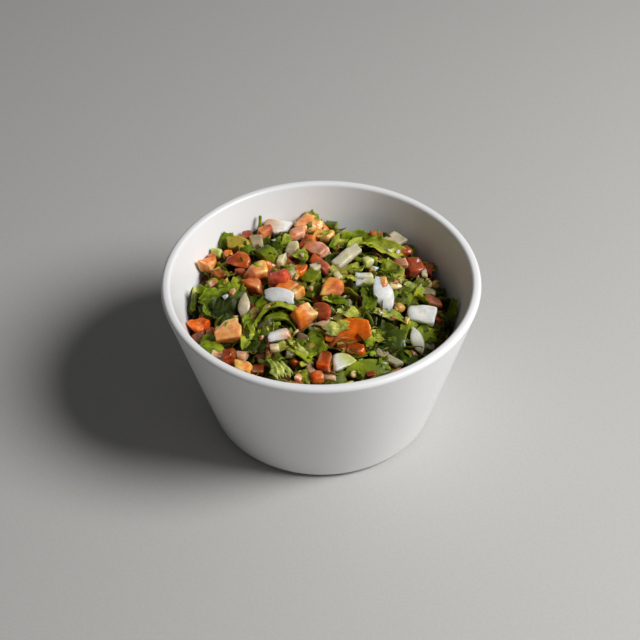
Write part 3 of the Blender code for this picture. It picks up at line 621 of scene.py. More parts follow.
@dataclass(frozen=True)
class Filling:
    """Pieces spread as a sunflower's seeds between the listed ones, and a layer of small ones under them."""

    radius: float = 44.5
    tries: int = 150
    seed: int = 5
    jitter: float = 1.5
    lifts: tuple[float, float] = (-1.0, 0.3)
    sizes: tuple[float, float] = (0.8, 1.3)
    clearing: float = 3.8
    clearing_growth: float = 0.17
    front_edge: float = -33.0
    leafy: float = 0.74
    leafy_in_front: float = 0.36
    tomato_up_to: float = 0.86
    onion_up_to: float = 0.93
    under_count: int = 440
    under_seed: int = 12
    under_jitter: float = 1.2
    under_lifts: tuple[float, float] = (-0.6, 0.9)
    under_sizes: tuple[float, float] = (0.7, 1.2)
    under_drop: float = 2.2
    under_leafy: float = 0.42
    under_draws: tuple[float, ...] = (0.2, 0.6, 0.9, 0.95)
    under_weights: tuple[int, ...] = (74, 20, 2, 4)
    under_tomato_size: float = 0.75
    under_tomato_drop: float = 0.5
    under_first: int = 500
    tone_seed: int = 100

    def spot(
        self, rng: random.Random, index: int, count: int, jitter: float, spread: float = 1.0
    ) -> tuple[float, float]:
        """Uneven place of one piece of a spread.

        Args:
            rng: Source of the draws.
            index: The piece's number.
            count: Pieces in the spread.
            jitter: How far off its even place it may lie each way.
            spread: Share of the usual radius.

        Returns:
            X and Y of the place.
        """
        radius = self.radius * math.sqrt((index + 0.5) / count)
        x, y = radius * math.cos(index * GOLDEN_TURN), radius * math.sin(index * GOLDEN_TURN)
        return x * spread + rng.uniform(-jitter, jitter), y * spread + rng.uniform(-jitter, jitter)

    def clear(self, x: float, y: float) -> bool:
        """True where a place is clear of the listed pieces."""
        reach = ((bit, self.clearing + self.clearing_growth * bit.size[0]) for bit in LISTED + EXTRA)
        return all(math.hypot(x - bit.x, y - bit.y) >= far for bit, far in reach)

    def between(self) -> list[Bit]:
        """Pieces that fill what the listed ones leave bare.

        Returns:
            The pieces, in a set order.
        """
        rng = random.Random(self.seed)
        bits: list[Bit] = []
        for index in range(self.tries):
            x, y = self.spot(rng, index, self.tries, self.jitter)
            if self.clear(x, y):
                lift = bed_rise(x, y) + rng.uniform(*self.lifts)
                size, spin = rng.uniform(*self.sizes), spun(rng, 180, 20, 25)
                leafy = self.leafy_in_front if y < self.front_edge else self.leafy
                bits.append(self.chopped((x, y, lift), size, spin, rng.random(), leafy, len(bits)))
        return bits

    def under(self) -> list[Bit]:
        """Pieces that show in the gaps, lower than the others.

        Returns:
            The pieces, in a set order.
        """
        rng = random.Random(self.under_seed)
        bits: list[Bit] = []
        for index in range(self.under_count):
            x, y = self.spot(rng, index, self.under_count, self.under_jitter)
            lift = bed_rise(x, y) - self.under_drop + rng.uniform(*self.under_lifts)
            size, spin = rng.uniform(*self.under_sizes), spun(rng, 180, 45, 60)
            draw = rng.choices(self.under_draws, self.under_weights)[0]
            if draw == self.under_draws[1]:
                size, lift = self.under_tomato_size * size, lift - self.under_tomato_drop
            number = index + self.under_first
            bits.append(self.chopped((x, y, lift), size, spin, draw, self.under_leafy, number))
        return bits

    def chopped(self, spot: tuple, size: float, spin: dict, draw: float, leafy: float, number: int) -> Bit:
        """A piece of the food that a draw picks.

        Args:
            spot: X, Y and the height over the heap's level.
            size: Share of the usual size.
            spin: Its turn, tip and roll.
            draw: A draw, 0 to 1, that picks the food.
            leafy: Share of the draws that give a leaf.
            number: Picks the tones.

        Returns:
            The piece.
        """
        pick = random.Random(number + self.tone_seed)
        if draw < leafy:
            tones, edge = pick.choice(LEAF_PAIRS), pick.choice((FRILLED, FRILLED, TORN, SMOOTH))
            sides = (*scaled((8.5, 6), size), HERB_THICKNESS)
            return Bit(HERB, LEAF, *spot, sides, tones, bend=35, cup=25, edge=edge, **spin)
        if draw < self.tomato_up_to:
            return Bit(TOMATO, DICE, *spot, scaled((5.5, 4.6, 4.4), size), pick.choice(TOMATO_PAIRS), **spin)
        if draw < self.onion_up_to:
            sides = scaled((5.5, 4.4, 2.4), size)
            return Bit(ONION, SLAB, *spot, sides, pick.choice(ONION_PAIRS), bend=25, **spin)
        return Bit(PEPPER, SLAB, *spot, (*scaled((6.5, 4.5), size), 2.0), (DEEP, GREEN), cup=-30, **spin)


@dataclass
class Shape:
    """Points, faces and colours of one piece, in millimetres."""

    points: np.ndarray
    quads: np.ndarray
    tints: np.ndarray
    marks: np.ndarray


def joined(shapes: list[Shape]) -> tuple[np.ndarray, np.ndarray]:
    """Several shapes as one.

    Args:
        shapes: The shapes.

    Returns:
        The points and the faces of them all.
    """
    starts = np.cumsum([0] + [len(shape.points) for shape in shapes[:-1]])
    points = np.concatenate([shape.points for shape in shapes])
    return points, np.concatenate([shape.quads + start for shape, start in zip(shapes, starts)])


@cache
def block_grid(along: int, across: int, through: int) -> tuple[np.ndarray, np.ndarray]:
    """Surface of a box one unit long each way, split into cells.

    Args:
        along: Cells along X.
        across: Cells along Y.
        through: Cells along Z.

    Returns:
        The points, and four corners for each face, all facing out.
    """
    cells = (along, across, through)
    index: dict[tuple[int, ...], int] = {}
    quads = []
    for axis in range(3):
        first, second = (axis + 1) % 3, (axis + 2) % 3
        for side in (0, cells[axis]):
            for i, j in np.ndindex(cells[first], cells[second]):
                corners = []
                for di, dj in ((0, 0), (1, 0), (1, 1), (0, 1)):
                    spot = [0, 0, 0]
                    spot[axis], spot[first], spot[second] = side, i + di, j + dj
                    corners.append(index.setdefault(tuple(spot), len(index)))
                quads.append(corners if side else corners[::-1])
    return np.array(list(index), dtype=float) / np.array(cells) - 0.5, np.array(quads)


def cell_count(length: float, cell: float, limits: tuple[int, int]) -> int:
    """Cells of about a size along a length, between two limits."""
    return min(limits[1], max(limits[0], int(length / cell)))


def crowded(points: np.ndarray, share: float = 0.6) -> np.ndarray:
    """Moves grid points towards the box's edges, where it is rounded."""
    return (1 - share) * points + share * 0.5 * np.sin(math.pi * points)


def rounded(points: np.ndarray, size: np.ndarray, radius: float) -> np.ndarray:
    """Box of a size with its edges rounded.

    Args:
        points: Points of a box one unit long each way.
        size: The box's three sides.
        radius: Radius of its edges.

    Returns:
        The moved points, at the box's size.
    """
    full = points * size
    inner = np.clip(full, -(size / 2 - radius), size / 2 - radius)
    out = full - inner
    far = np.linalg.norm(out, axis=1, keepdims=True)
    return inner + radius * out / np.maximum(far, 1e-9)


def unit(way: np.ndarray) -> np.ndarray:
    """The same direction, one unit long."""
    return way / np.linalg.norm(way)


def wobble(points: np.ndarray, draws: np.random.Generator, scale: float, amount: float) -> np.ndarray:
    """Smooth uneven offset for each point.

    Args:
        points: Where the offset is wanted.
        draws: Source of the draws.
        scale: Length of the unevenness.
        amount: Its height.

    Returns:
        One offset for each point.
    """
    offset = np.zeros_like(points)
    waves = 6
    for _ in range(waves):
        way = draws.normal(size=3)
        way *= 2 * math.pi / scale * draws.uniform(0.5, 1.5) / np.linalg.norm(way)
        push = unit(draws.normal(size=3))
        offset += push * np.sin(points @ way + draws.uniform(0, 2 * math.pi))[:, None]
    return offset * amount / math.sqrt(waves)


def smooth_noise(points: np.ndarray, draws: np.random.Generator, scale: float) -> np.ndarray:
    """Smooth uneven value for each point, mostly between -1 and 1, as a column."""
    return wobble(points, draws, scale, 1.6)[:, :1]


def ripple(along: np.ndarray, draws: np.random.Generator, waves: float) -> np.ndarray:
    """Uneven line of about so many waves over a unit length, between -1 and 1."""
    highest = 1.93
    turn = 2 * math.pi
    line = sum(np.sin(turn * (along * waves * part + draws.uniform())) / part for part in (1, 1.7, 2.9))
    return line / highest


def curled(points: np.ndarray, bit: Bit) -> np.ndarray:
    """Thin piece after it is cupped across its width and bent along its length.

    Args:
        points: Its points, flat.
        bit: The piece.

    Returns:
        The moved points.
    """
    x, y, z = points.T
    long, wide, _ = bit.size
    if bit.cup:
        radius = wide / math.radians(bit.cup)
        y, z = (radius - z) * np.sin(y / radius), radius - (radius - z) * np.cos(y / radius)
    if bit.bend:
        radius = long / math.radians(bit.bend)
        x, z = (radius + z) * np.sin(x / radius), (radius + z) * np.cos(x / radius) - radius
    return np.column_stack((x, y, z))


def smoothstep(low: float, high: float, value: np.ndarray) -> np.ndarray:
    """Share from 0 at low to 1 at high, without corners."""
    share = np.clip((value - low) / (high - low), 0, 1)
    return share * share * (3 - 2 * share)


def column(values: np.ndarray) -> np.ndarray:
    """Values as one column, which multiplies three colours."""
    return values[:, None]


def mixed(first: np.ndarray, second: np.ndarray, share: np.ndarray) -> np.ndarray:
    """The first, with a share of the second."""
    return first * (1 - share) + second * share


def tinted(bit: Bit, along: np.ndarray, draws: np.random.Generator, blur: float = 0.55) -> np.ndarray:
    """Colour of each point, from the tone of one end to that of the other.

    Args:
        bit: The piece.
        along: Where each point is along it, -0.5 to 0.5.
        draws: Source of the draws.
        blur: Length over which one tone turns into the other.

    Returns:
        Three shares for each point.
    """
    first, last = (linear(tone) for tone in bit.tones)
    first = first * draws.uniform(0.9, 1.1)
    return mixed(first, last, column(smoothstep(-blur, blur, along + draws.uniform(-0.1, 0.1))))


def finished(grid: np.ndarray, points: np.ndarray, quads: np.ndarray, tints: np.ndarray, own: float) -> Shape:
    """Shape whose marks say where each point lies on it, and tell it from other pieces.

    Args:
        grid: Place of each point on the piece, -0.5 to 0.5 each way.
        points: The points.
        quads: The faces.
        tints: The colours.
        own: The piece's own draw.

    Returns:
        The shape.
    """
    return Shape(points, quads, tints, np.column_stack((grid, np.full(len(grid), own))))


SKIN_HUE = np.array((0.88, 0.70, 0.44))
FLESH_HUE = np.array((1.14, 1.14, 1.3))
SLICE_HUE = np.array((0.8, 0.72, 0.1))
JUICE_TONES = (PEACH, BLUSH, SALMON, GOLD, PLUM)


@dataclass(frozen=True)
class Cutter:
    """Makes the mesh of one piece from its size, cut and number, with what is uneven about it."""

    chunk_cell: float = 0.45
    coarse_cell: float = 0.7
    chunk_cells: tuple[int, int] = (6, 20)
    edge_power: float = 12.0
    side_lean: float = 0.17
    corner_cuts: int = 3
    corner_jitter: float = 0.11
    coarse_slab: tuple[int, int, int] = (8, 4, 2)
    leaf_cell: float = 0.47
    coarse_leaf_cell: float = 1.1
    leaf_cells_along: tuple[int, int] = (8, 64)
    leaf_cells_across: tuple[int, int] = (6, 34)
    leaf_thickness: float = 0.3
    vein_count: float = 5.0
    vein_slant: float = 0.55
    pleat_rise: float = 0.035
    fan_ribs: int = 3
    fan_cells: tuple[int, int, int] = (26, 36, 1)
    fan_thickness: float = 0.4
    seed_cells: tuple[int, int, int] = (8, 8, 8)
    seed_taper: float = 0.56

    def shape(self, bit: Bit, number: int, coarse: bool = False) -> Shape:
        """Mesh of a piece at the origin.

        Args:
            bit: The piece.
            number: Seeds what is uneven about it.
            coarse: True for a piece that hardly shows.

        Returns:
            Its shape.
        """
        rng, draws = random.Random(number), np.random.default_rng(number)
        if bit.cut is DICE:
            return self.chunk(bit, draws, coarse)
        if bit.cut is SEED:
            return self.seed(bit, draws)
        if bit.cut is FAN:
            return self.fan(bit, draws)
        ends = [rng.random() for _ in range(4)]
        return (self.leaf if bit.cut is LEAF else self.slab)(bit, ends, draws, coarse)

    def sides(self, draws: np.random.Generator) -> list[tuple[np.ndarray, float]]:
        """Planes that bound a chunk: six out of square, and a few more that cut its corners off.

        Args:
            draws: Source of the draws.

        Returns:
            Each plane's direction and its distance, in half sides of the chunk.
        """
        planes = []
        for axis in range(3):
            for sign in (-1, 1):
                way = draws.normal(size=3) * self.side_lean
                way[axis] += sign
                planes.append((unit(way), draws.uniform(0.9, 1.06)))
        for _ in range(self.corner_cuts):
            way = draws.uniform(0.45, 1.0, 3) * draws.choice((-1, 1), 3)
            planes.append((unit(way), draws.uniform(1.0, 1.35)))
        return planes

    def chunk(self, bit: Bit, draws: np.random.Generator, coarse: bool) -> Shape:
        """A chunk cut by hand: sides out of square, edges soft, a shallow hollow where seeds lay.

        Args:
            bit: The piece.
            draws: Source of the draws.
            coarse: True for a piece that hardly shows.

        Returns:
            Its shape.
        """
        soft = bit.food is TOMATO
        cell = self.coarse_cell if coarse else self.chunk_cell
        cells = cell_count(sum(bit.size) / 3, cell, self.chunk_cells)
        grid, quads = block_grid(cells, cells, cells)
        grid = crowded(grid, 0.4)
        ways = grid / np.linalg.norm(grid, axis=1, keepdims=True)
        sharp = 0.6 if bit.edge is SOFT else 0.75 if soft else 1.3
        power = self.edge_power * draws.uniform(0.75, 1.35) * sharp
        near = sum(np.maximum(ways @ way / away, 0) ** power for way, away in self.sides(draws))
        hollow = smoothstep(0.72, 1.0, ways @ unit(draws.normal(size=3))) * draws.uniform(0.05, 0.22) * soft
        least = min(bit.size)
        points = ways * column(near ** (-1 / power) * (1 - hollow)) * np.array(bit.size) / 2
        points += wobble(points, draws, 0.9 * least, (0.08 if soft else 0.045) * least)
        points += wobble(points, draws, 1.7, (0.2 if coarse else 0.08) if soft else 0.05)
        tints = tinted(bit, grid[:, 0], draws)
        skin = column(smoothstep(-0.35, 0.45, grid @ unit(draws.normal(size=3))))
        patches = smooth_noise(points, draws, 2.6)
        if soft:
            tints = tints * mixed(FLESH_HUE, SKIN_HUE, skin) * (1 + 0.2 * patches)
            juice = smoothstep(0.0, 1.1, smooth_noise(points, draws, 5.0)) * 0.6
            other = linear(JUICE_TONES[int(draws.integers(len(JUICE_TONES)))])
            tints = mixed(tints, other * (0.4 + tints.mean()), juice)
        else:
            tints = tints * (1.05 - 0.15 * skin + 0.07 * patches)
        # Painted highlight: the chunk's colour is lighter along its edges, more on tomato than on onion.
        rim = column(smoothstep(0.34, 0.47, np.sort(np.abs(grid), axis=1)[:, 1])) * (0.3 if soft else 0.12)
        return finished(grid, points, quads, np.clip(tints * (1 + rim), 0.003, 0.95), draws.uniform())

    def slab(self, bit: Bit, ends: list[float], draws: np.random.Generator, coarse: bool) -> Shape:
        """A flat cut or a strip, its corners out of square, curved as it lay.

        Args:
            bit: The piece.
            ends: Four draws for its corners.
            draws: Source of the other draws.
            coarse: True for a piece that hardly shows.

        Returns:
            Its shape.
        """
        long, wide, thick = bit.size
        is_onion = bit.food is ONION
        cells = self.coarse_slab if coarse else (max(12, int(long * 2)), max(6, int(wide * 2)), 4)
        grid, quads = block_grid(*cells)
        grid = crowded(grid)
        u, v, w = grid.T
        end = ends[0] * (0.5 - v) + ends[1] * (0.5 + v) - 0.5
        side = ends[2] * (0.5 - u) + ends[3] * (0.5 + u) - 0.5
        points = rounded(grid, np.array(bit.size), min((0.24 if is_onion else 0.42) * thick, 0.3 * wide))
        uneven = 0.03 if is_onion or bit.edge is PETAL else 0.09
        points[:, 0] *= 1 + 2 * self.corner_jitter * end + uneven * ripple(v, draws, 1.2)
        points[:, 1] *= 1 + 2 * self.corner_jitter * side + uneven * ripple(u, draws, 0.9)
        points[:, 0] += draws.uniform(-1, 1) * (0.45 if bit.edge is SMOOTH else 0.15) * points[:, 1]
        points[:, 2] *= 1 + draws.uniform(-0.3, 0.3) * 2 * v + draws.uniform(-0.25, 0.25) * 2 * u
        if bit.edge is LENS:
            points[:, 1] *= 0.06 + 1.0 * np.cos(math.pi * u) ** 0.9
            points[:, 2] *= 0.35 + 0.65 * np.cos(math.pi * u)
        if bit.edge is PETAL:
            points[:, 1] *= 0.16 + 0.9 * np.sin(math.pi * np.clip(0.14 + 0.66 * (u + 0.5), 0, 1)) ** 1.1
        points[:, 2] *= 1 + 0.2 * ripple(u, draws, 0.8)
        points = curled(points, bit)
        points += wobble(points, draws, 2.6, 0.45 * uneven * min(wide, 5))
        tints = tinted(bit, u, draws) * (1 + 0.12 * smooth_noise(points, draws, 3.2))
        off = np.maximum(np.abs(u), np.abs(v))
        if is_onion:
            glassy = smoothstep(-0.1, 1.1, smooth_noise(points, draws, 6.0))
            tints = mixed(tints, linear(SMOKE), glassy * (0.15 if bit.tones[0] is WHITE else 0.55))
        if bit.food is TOMATO:
            tints = mixed(tints * SLICE_HUE, linear(GOLD), column(smoothstep(0.4, 0.5, off)) * 0.35)
        if bit.food is PEPPER:
            flesh = np.maximum(smoothstep(0.43, 0.5, off) * 0.7, smoothstep(0.0, -0.4, w))
            tints = mixed(tints, linear(LIME) * 0.8, column(flesh))
        return finished(grid, points, quads, np.clip(tints, 0.004, 0.95), draws.uniform())

    def outline(
        self, bit: Bit, u: np.ndarray, v: np.ndarray, ends: list[float], draws: np.random.Generator
    ) -> tuple[np.ndarray, np.ndarray, np.ndarray]:
        """Flat outline of a leaf and the waves of its edge.

        Args:
            bit: The piece.
            u: Place along it, -0.5 to 0.5.
            v: Place across it, -0.5 to 0.5.
            ends: Four draws for its ends and its edge.
            draws: Source of the other draws.

        Returns:
            Places along and across, and the height of the edge's waves, in millimetres.
        """
        long, wide, _ = bit.size
        away = 2 * np.abs(v)
        blunt = 0.1 + 0.12 * ends[0]
        width = np.sin(math.pi * (blunt + (1 - 2 * blunt) * (u + 0.5))) ** 0.75
        wave = wide * (0.05 + 0.05 * ends[1]) * away**2 * np.sin(2 * math.pi * (1.4 * u + ends[2]))
        hand = np.where(v > 0, 1.0, 0.0)
        lean = 0.13 * (hand * ripple(u, draws, 0.9) + (1 - hand) * ripple(u + 3, draws, 0.9))
        stretch = 1 + 0.08 * ripple(v, draws, 1.2)
        if bit.edge is FRILLED:
            teeth = max(3.0, long / 2.4)
            saw = np.abs(((u * teeth + 0.37 * hand + ends[3]) % 1) - 0.5) * 2
            lobes = np.abs(np.sin(math.pi * (u * teeth / 2.6 + ends[3] + 0.3 * hand)))
            lean = lean - (0.2 * saw + 0.3 * (1 - lobes)) * away**2 + 0.08
            wave = wave + 0.08 * wide * away**3 * ripple(u + hand, draws, teeth / 2.3)
            stretch = stretch + 0.13 * ripple(v, draws, 2.2)
        if bit.edge is TORN:
            lean = lean + 0.18 * ripple(np.round(u * 5) / 5 + hand, draws, 1.6)
            stretch = stretch + 0.14 * ripple(np.round(v * 3) / 3, draws, 1.2)
        return long * u * stretch, wide * v * width * (1 + lean), wave

    def leaf(self, bit: Bit, ends: list[float], draws: np.random.Generator, coarse: bool) -> Shape:
        """A chopped leaf: pointed or torn ends, a crease down its middle, pleats between its veins, a fold.

        Args:
            bit: The piece.
            ends: Four draws for its ends and its edge.
            draws: Source of the other draws.
            coarse: True for a piece that hardly shows.

        Returns:
            Its shape.
        """
        long, wide, _ = bit.size
        cell = self.coarse_leaf_cell if coarse else self.leaf_cell
        along = cell_count(long, cell, self.leaf_cells_along)
        across = cell_count(wide, cell, self.leaf_cells_across)
        grid, quads = block_grid(along, across, 1)
        u, v, side = grid.T
        x, y, wave = self.outline(bit, u, v, ends, draws)
        away = np.abs(2 * v)
        pleat = np.abs(((u - self.vein_slant * np.abs(v) + 4) * self.vein_count) % 1 - 0.5) * 2
        crease = 0.12 * wide * away**1.2 * (1 if ends[3] > 0.4 else -0.6)
        z = wave + crease - crease.mean() + self.pleat_rise * wide * pleat * away**0.7
        hinge = draws.uniform(-0.3, 0.3) * wide
        fold = math.radians(draws.uniform(-1, 1) * (70 if coarse else 40))
        far = np.maximum(y - hinge, 0) if draws.uniform() < 0.5 else np.minimum(y - hinge, 0)
        y, z = y - far * (1 - math.cos(fold)), z + np.abs(far) * math.sin(fold)
        flat = np.column_stack((x, y, z))
        broad = min(wide, 9)
        calm = 1 - 0.5 * float(smoothstep(10, 15, np.array(wide)))
        crumple = wobble(flat, draws, broad, 0.11 * broad * calm)
        crumple += wobble(flat, draws, 0.4 * broad, 0.035 * broad)
        thin = 1 - 0.75 * smoothstep(0.8, 1.0, np.maximum(away, 2 * np.abs(u)))
        points = curled(np.column_stack((x, y, z + side * self.leaf_thickness * thin)), bit) + crumple
        tints = tinted(bit, u, draws)
        # Painted shade: the near side of the leaf turns to the near tone.
        if bit.near is not None:
            close = smoothstep(0.17, 0.05, v + 0.05 * ripple(u, draws, 1.4))
            tints = mixed(tints, linear(bit.near), column(close))
        # Painted shade: the raised parts of the crumpled leaf and the tops of its pleats are lighter and the
        # low parts darker; the blotches are the leaf's own colour.
        high = column(np.clip(0.5 + crumple[:, 2] / (0.3 * broad), 0, 1))
        blotch = smooth_noise(flat, draws, 4.0)
        tints = tints * (0.68 + 0.6 * high + 0.18 * blotch) * (0.88 + 0.16 * column(pleat))
        tints = mixed(tints, 0.65 * tints + 0.15 * linear(PALE), column(smoothstep(0.2, -0.2, side)) * 0.35)
        # The leaf's edge is lighter: partly the paler cut edge, partly a painted highlight.
        rim = column(smoothstep(0.82, 1.0, away)) * (0.4 if bit.edge is FRILLED else 0.25)
        tints = mixed(tints, linear(LIME) * (0.4 + 2 * tints.mean()), rim)
        return finished(grid, points, quads, np.clip(tints, 0.002, 0.9), draws.uniform())

    def fan(self, bit: Bit, draws: np.random.Generator) -> Shape:
        """A ribbed piece, wide and toothed at its start and narrow at its end.

        Args:
            bit: The piece.
            draws: Source of the draws.

        Returns:
            Its shape.
        """
        long, wide, _ = bit.size
        grid, quads = block_grid(*self.fan_cells)
        u, v, side = grid.T
        rib = np.cos(2 * math.pi * self.fan_ribs * v)
        tooth = np.abs(((v * 2 * self.fan_ribs) % 1) - 0.5) * 2
        notch = 0.24 * tooth * smoothstep(0.0, -0.5, u)
        x = long * (u + notch + 0.05 * ripple(v, draws, 2.0))
        z = 0.08 * wide * rib * (0.7 - 0.5 * u) + side * self.fan_thickness
        points = curled(np.column_stack((x, wide * v * (0.8 - 0.4 * u), z)), bit)
        points += wobble(points, draws, 4.0, 0.35)
        tints = mixed(tinted(bit, u, draws), linear(PALE), 0.4 * column(0.5 + 0.5 * rib) ** 2)
        return finished(grid, points, quads, tints, draws.uniform())

    def seed(self, bit: Bit, draws: np.random.Generator) -> Shape:
        """A pip, one end narrower than the other.

        Args:
            bit: The piece.
            draws: Source of the draws.

        Returns:
            Its shape.
        """
        grid, quads = block_grid(*self.seed_cells)
        ball = np.tan(grid * math.pi / 2 * 0.98)
        ball = 0.5 * ball / np.linalg.norm(ball, axis=1, keepdims=True)
        points = ball * np.array(bit.size)
        points[:, 1:] *= column(1 - self.seed_taper * ball[:, 0])
        points += wobble(points, draws, 2.0, 0.06)
        own = draws.uniform()
        return finished(ball, points, quads, tinted(bit, ball[:, 0], draws), own)


Feed = bpy.types.NodeSocket | float | tuple


@dataclass
class NodeTree:
    """A node tree with short ways to add and join nodes."""

    tree: bpy.types.NodeTree

    def add(self, kind: str, inputs: dict | None = None, **settings) -> bpy.types.Node:
        """Adds a node.

        Args:
            kind: The node's type, without its ShaderNode prefix.
            inputs: Values, or sockets to join, by the input's name or number.
            **settings: The node's own settings.

        Returns:
            The node.
        """
        node = self.tree.nodes.new(kind if kind.startswith("Node") else "ShaderNode" + kind)
        for name, value in settings.items():
            setattr(node, name, value)
        self.feed(node, inputs or {})
        return node

    def feed(self, node: bpy.types.Node, inputs: dict) -> None:
        """Gives inputs of a node their values, or joins outputs to them.

        Args:
            node: The node.
            inputs: Values, or sockets to join, by the input's name or number.
        """
        for name, value in inputs.items():
            if isinstance(value, bpy.types.NodeSocket):
                self.tree.links.new(value, node.inputs[name])
            else:
                node.inputs[name].default_value = value

    def mix(self, share: Feed, first: Feed, second: Feed, blend: str = "MIX") -> bpy.types.NodeSocket:
        """First colour mixed with a share of the second, each a colour or a socket."""
        inputs = {0: share, 6: first, 7: second}
        return self.add("Mix", inputs, data_type="RGBA", blend_type=blend).outputs[2]

    def math(self, operation: str, first: Feed, second: Feed = 0.0) -> bpy.types.NodeSocket:
        """Result of one sum on one or two values."""
        return self.add("Math", {0: first, 1: second}, operation=operation).outputs[0]

    def times(self, first: Feed, second: Feed) -> bpy.types.NodeSocket:
        """Product of two values."""
        return self.math("MULTIPLY", first, second)

    def plus(self, first: Feed, second: Feed) -> bpy.types.NodeSocket:
        """Sum of two values."""
        return self.math("ADD", first, second)

    def remap(
        self, value: Feed, low: float, high: float, to: tuple = (0.0, 1.0), way: str = "SMOOTHSTEP"
    ) -> bpy.types.NodeSocket:
        """Value moved from one range to another, without corners if not told otherwise."""
        inputs = {0: value, 1: low, 2: high, 3: to[0], 4: to[1]}
        return self.add("MapRange", inputs, interpolation_type=way).outputs[0]

    def place(self) -> bpy.types.NodeSocket:
        """Where a point lies on the object."""
        return self.add("TexCoord").outputs["Object"]

    def noise(self, place: Feed, scale: Feed, detail: float, distortion: float = 0.0) -> bpy.types.NodeSocket:
        """Smooth noise at a place, 0 to 1."""
        inputs = {"Vector": place, "Scale": scale, "Detail": detail, "Distortion": distortion}
        return self.add("TexNoise", inputs).outputs[0]

    def attribute(self, layer: str, output: str = "Color") -> bpy.types.NodeSocket:
        """Values that the mesh keeps for each point."""
        return self.add("Attribute", attribute_name=layer).outputs[output]

    def bump(self, height: Feed, strength: float, distance: float) -> bpy.types.NodeSocket:
        """Normals of a relief."""
        return self.add("Bump", {"Height": height, "Strength": strength, "Distance": distance}).outputs[0]


def new_material(name: str) -> tuple[bpy.types.Material, NodeTree, bpy.types.Node]:
    """Starts a material.

    Args:
        name: Its name.

    Returns:
        The material, its nodes and its shader.
    """
    material = bpy.data.materials.new(name)
    material.use_nodes = True
    return material, NodeTree(material.node_tree), material.node_tree.nodes["Principled BSDF"]


class EffectGroup:
    """A shader node group with named inputs and outputs, built once."""

    name: str = ""
    inputs: dict = {}
    outputs: tuple = ()

    @classmethod
    def tree(cls) -> bpy.types.NodeTree:
        """The group, built at its first use.

        Returns:
            The group's node tree.
        """
        found = bpy.data.node_groups.get(cls.name)
        if found:
            return found
        group = bpy.data.node_groups.new(cls.name, "ShaderNodeTree")
        for label, value in cls.inputs.items():
            kind = "NodeSocketColor" if isinstance(value, tuple) else "NodeSocketFloat"
            group.interface.new_socket(label, in_out="INPUT", socket_type=kind).default_value = value
        for label in cls.outputs:
            kind = "NodeSocketColor" if label == "Colour" else "NodeSocketFloat"
            group.interface.new_socket(label, in_out="OUTPUT", socket_type=kind)
        nodes = NodeTree(group)
        given = nodes.add("NodeGroupInput").outputs
        nodes.feed(nodes.add("NodeGroupOutput"), cls.fill(nodes, given))
        return group

    @classmethod
    def fill(cls, nodes: NodeTree, given: bpy.types.bpy_prop_collection) -> dict:
        """Adds the group's own nodes, from the sockets given to it, and returns what feeds its outputs."""
        raise NotImplementedError

    @classmethod
    def place(cls, nodes: NodeTree, **inputs) -> bpy.types.bpy_prop_collection:
        """Puts the group in a material.

        Args:
            nodes: The material's nodes.
            **inputs: Values or sockets, by input name with _ for a space.

        Returns:
            The group's outputs.
        """
        node = nodes.tree.nodes.new("ShaderNodeGroup")
        node.node_tree = cls.tree()
        nodes.feed(node, {name.replace("_", " "): value for name, value in inputs.items()})
        return node.outputs


class WetMottle(EffectGroup):
    """Patchy colour and small relief of cut, wet flesh."""

    name = "wet_mottle"
    inputs = {
        "Tint": (0.5, 0.5, 0.5, 1),
        "Pale": (1.5, 1.5, 1.5, 1),
        "Deep": (0.5, 0.5, 0.5, 1),
        "Patch Scale": 300.0,
        "Pale Share": 0.4,
        "Deep Share": 0.4,
        "Gloss Low": 0.15,
        "Gloss High": 0.4,
    }
    outputs = ("Colour", "Height", "Roughness")

    @classmethod
    def fill(cls, nodes: NodeTree, given: bpy.types.bpy_prop_collection) -> dict:
        """Adds large and small patches, and a fine grain.

        Args:
            nodes: The group's nodes.
            given: The group's inputs, as sockets.

        Returns:
            What feeds each output.
        """
        place = nodes.place()
        fine = nodes.times(given["Patch Scale"], 3.1)
        large = nodes.noise(place, given["Patch Scale"], 3.0)
        small = nodes.noise(place, fine, 2.0, 0.6)
        grain = nodes.add("TexVoronoi", {"Vector": place, "Scale": fine}, feature="SMOOTH_F1").outputs[0]
        pale = nodes.times(nodes.remap(large, 0.48, 0.66), given["Pale Share"])
        deep = nodes.times(nodes.remap(small, 0.5, 0.72), given["Deep Share"])
        colour = nodes.mix(pale, given["Tint"], given["Pale"], "MULTIPLY")
        return {
            "Colour": nodes.mix(deep, colour, given["Deep"], "MULTIPLY"),
            "Height": nodes.plus(nodes.times(small, 0.6), nodes.times(grain, 0.5)),
            "Roughness": nodes.remap(small, 0.35, 0.7, (given["Gloss Low"], given["Gloss High"]), "LINEAR"),
        }


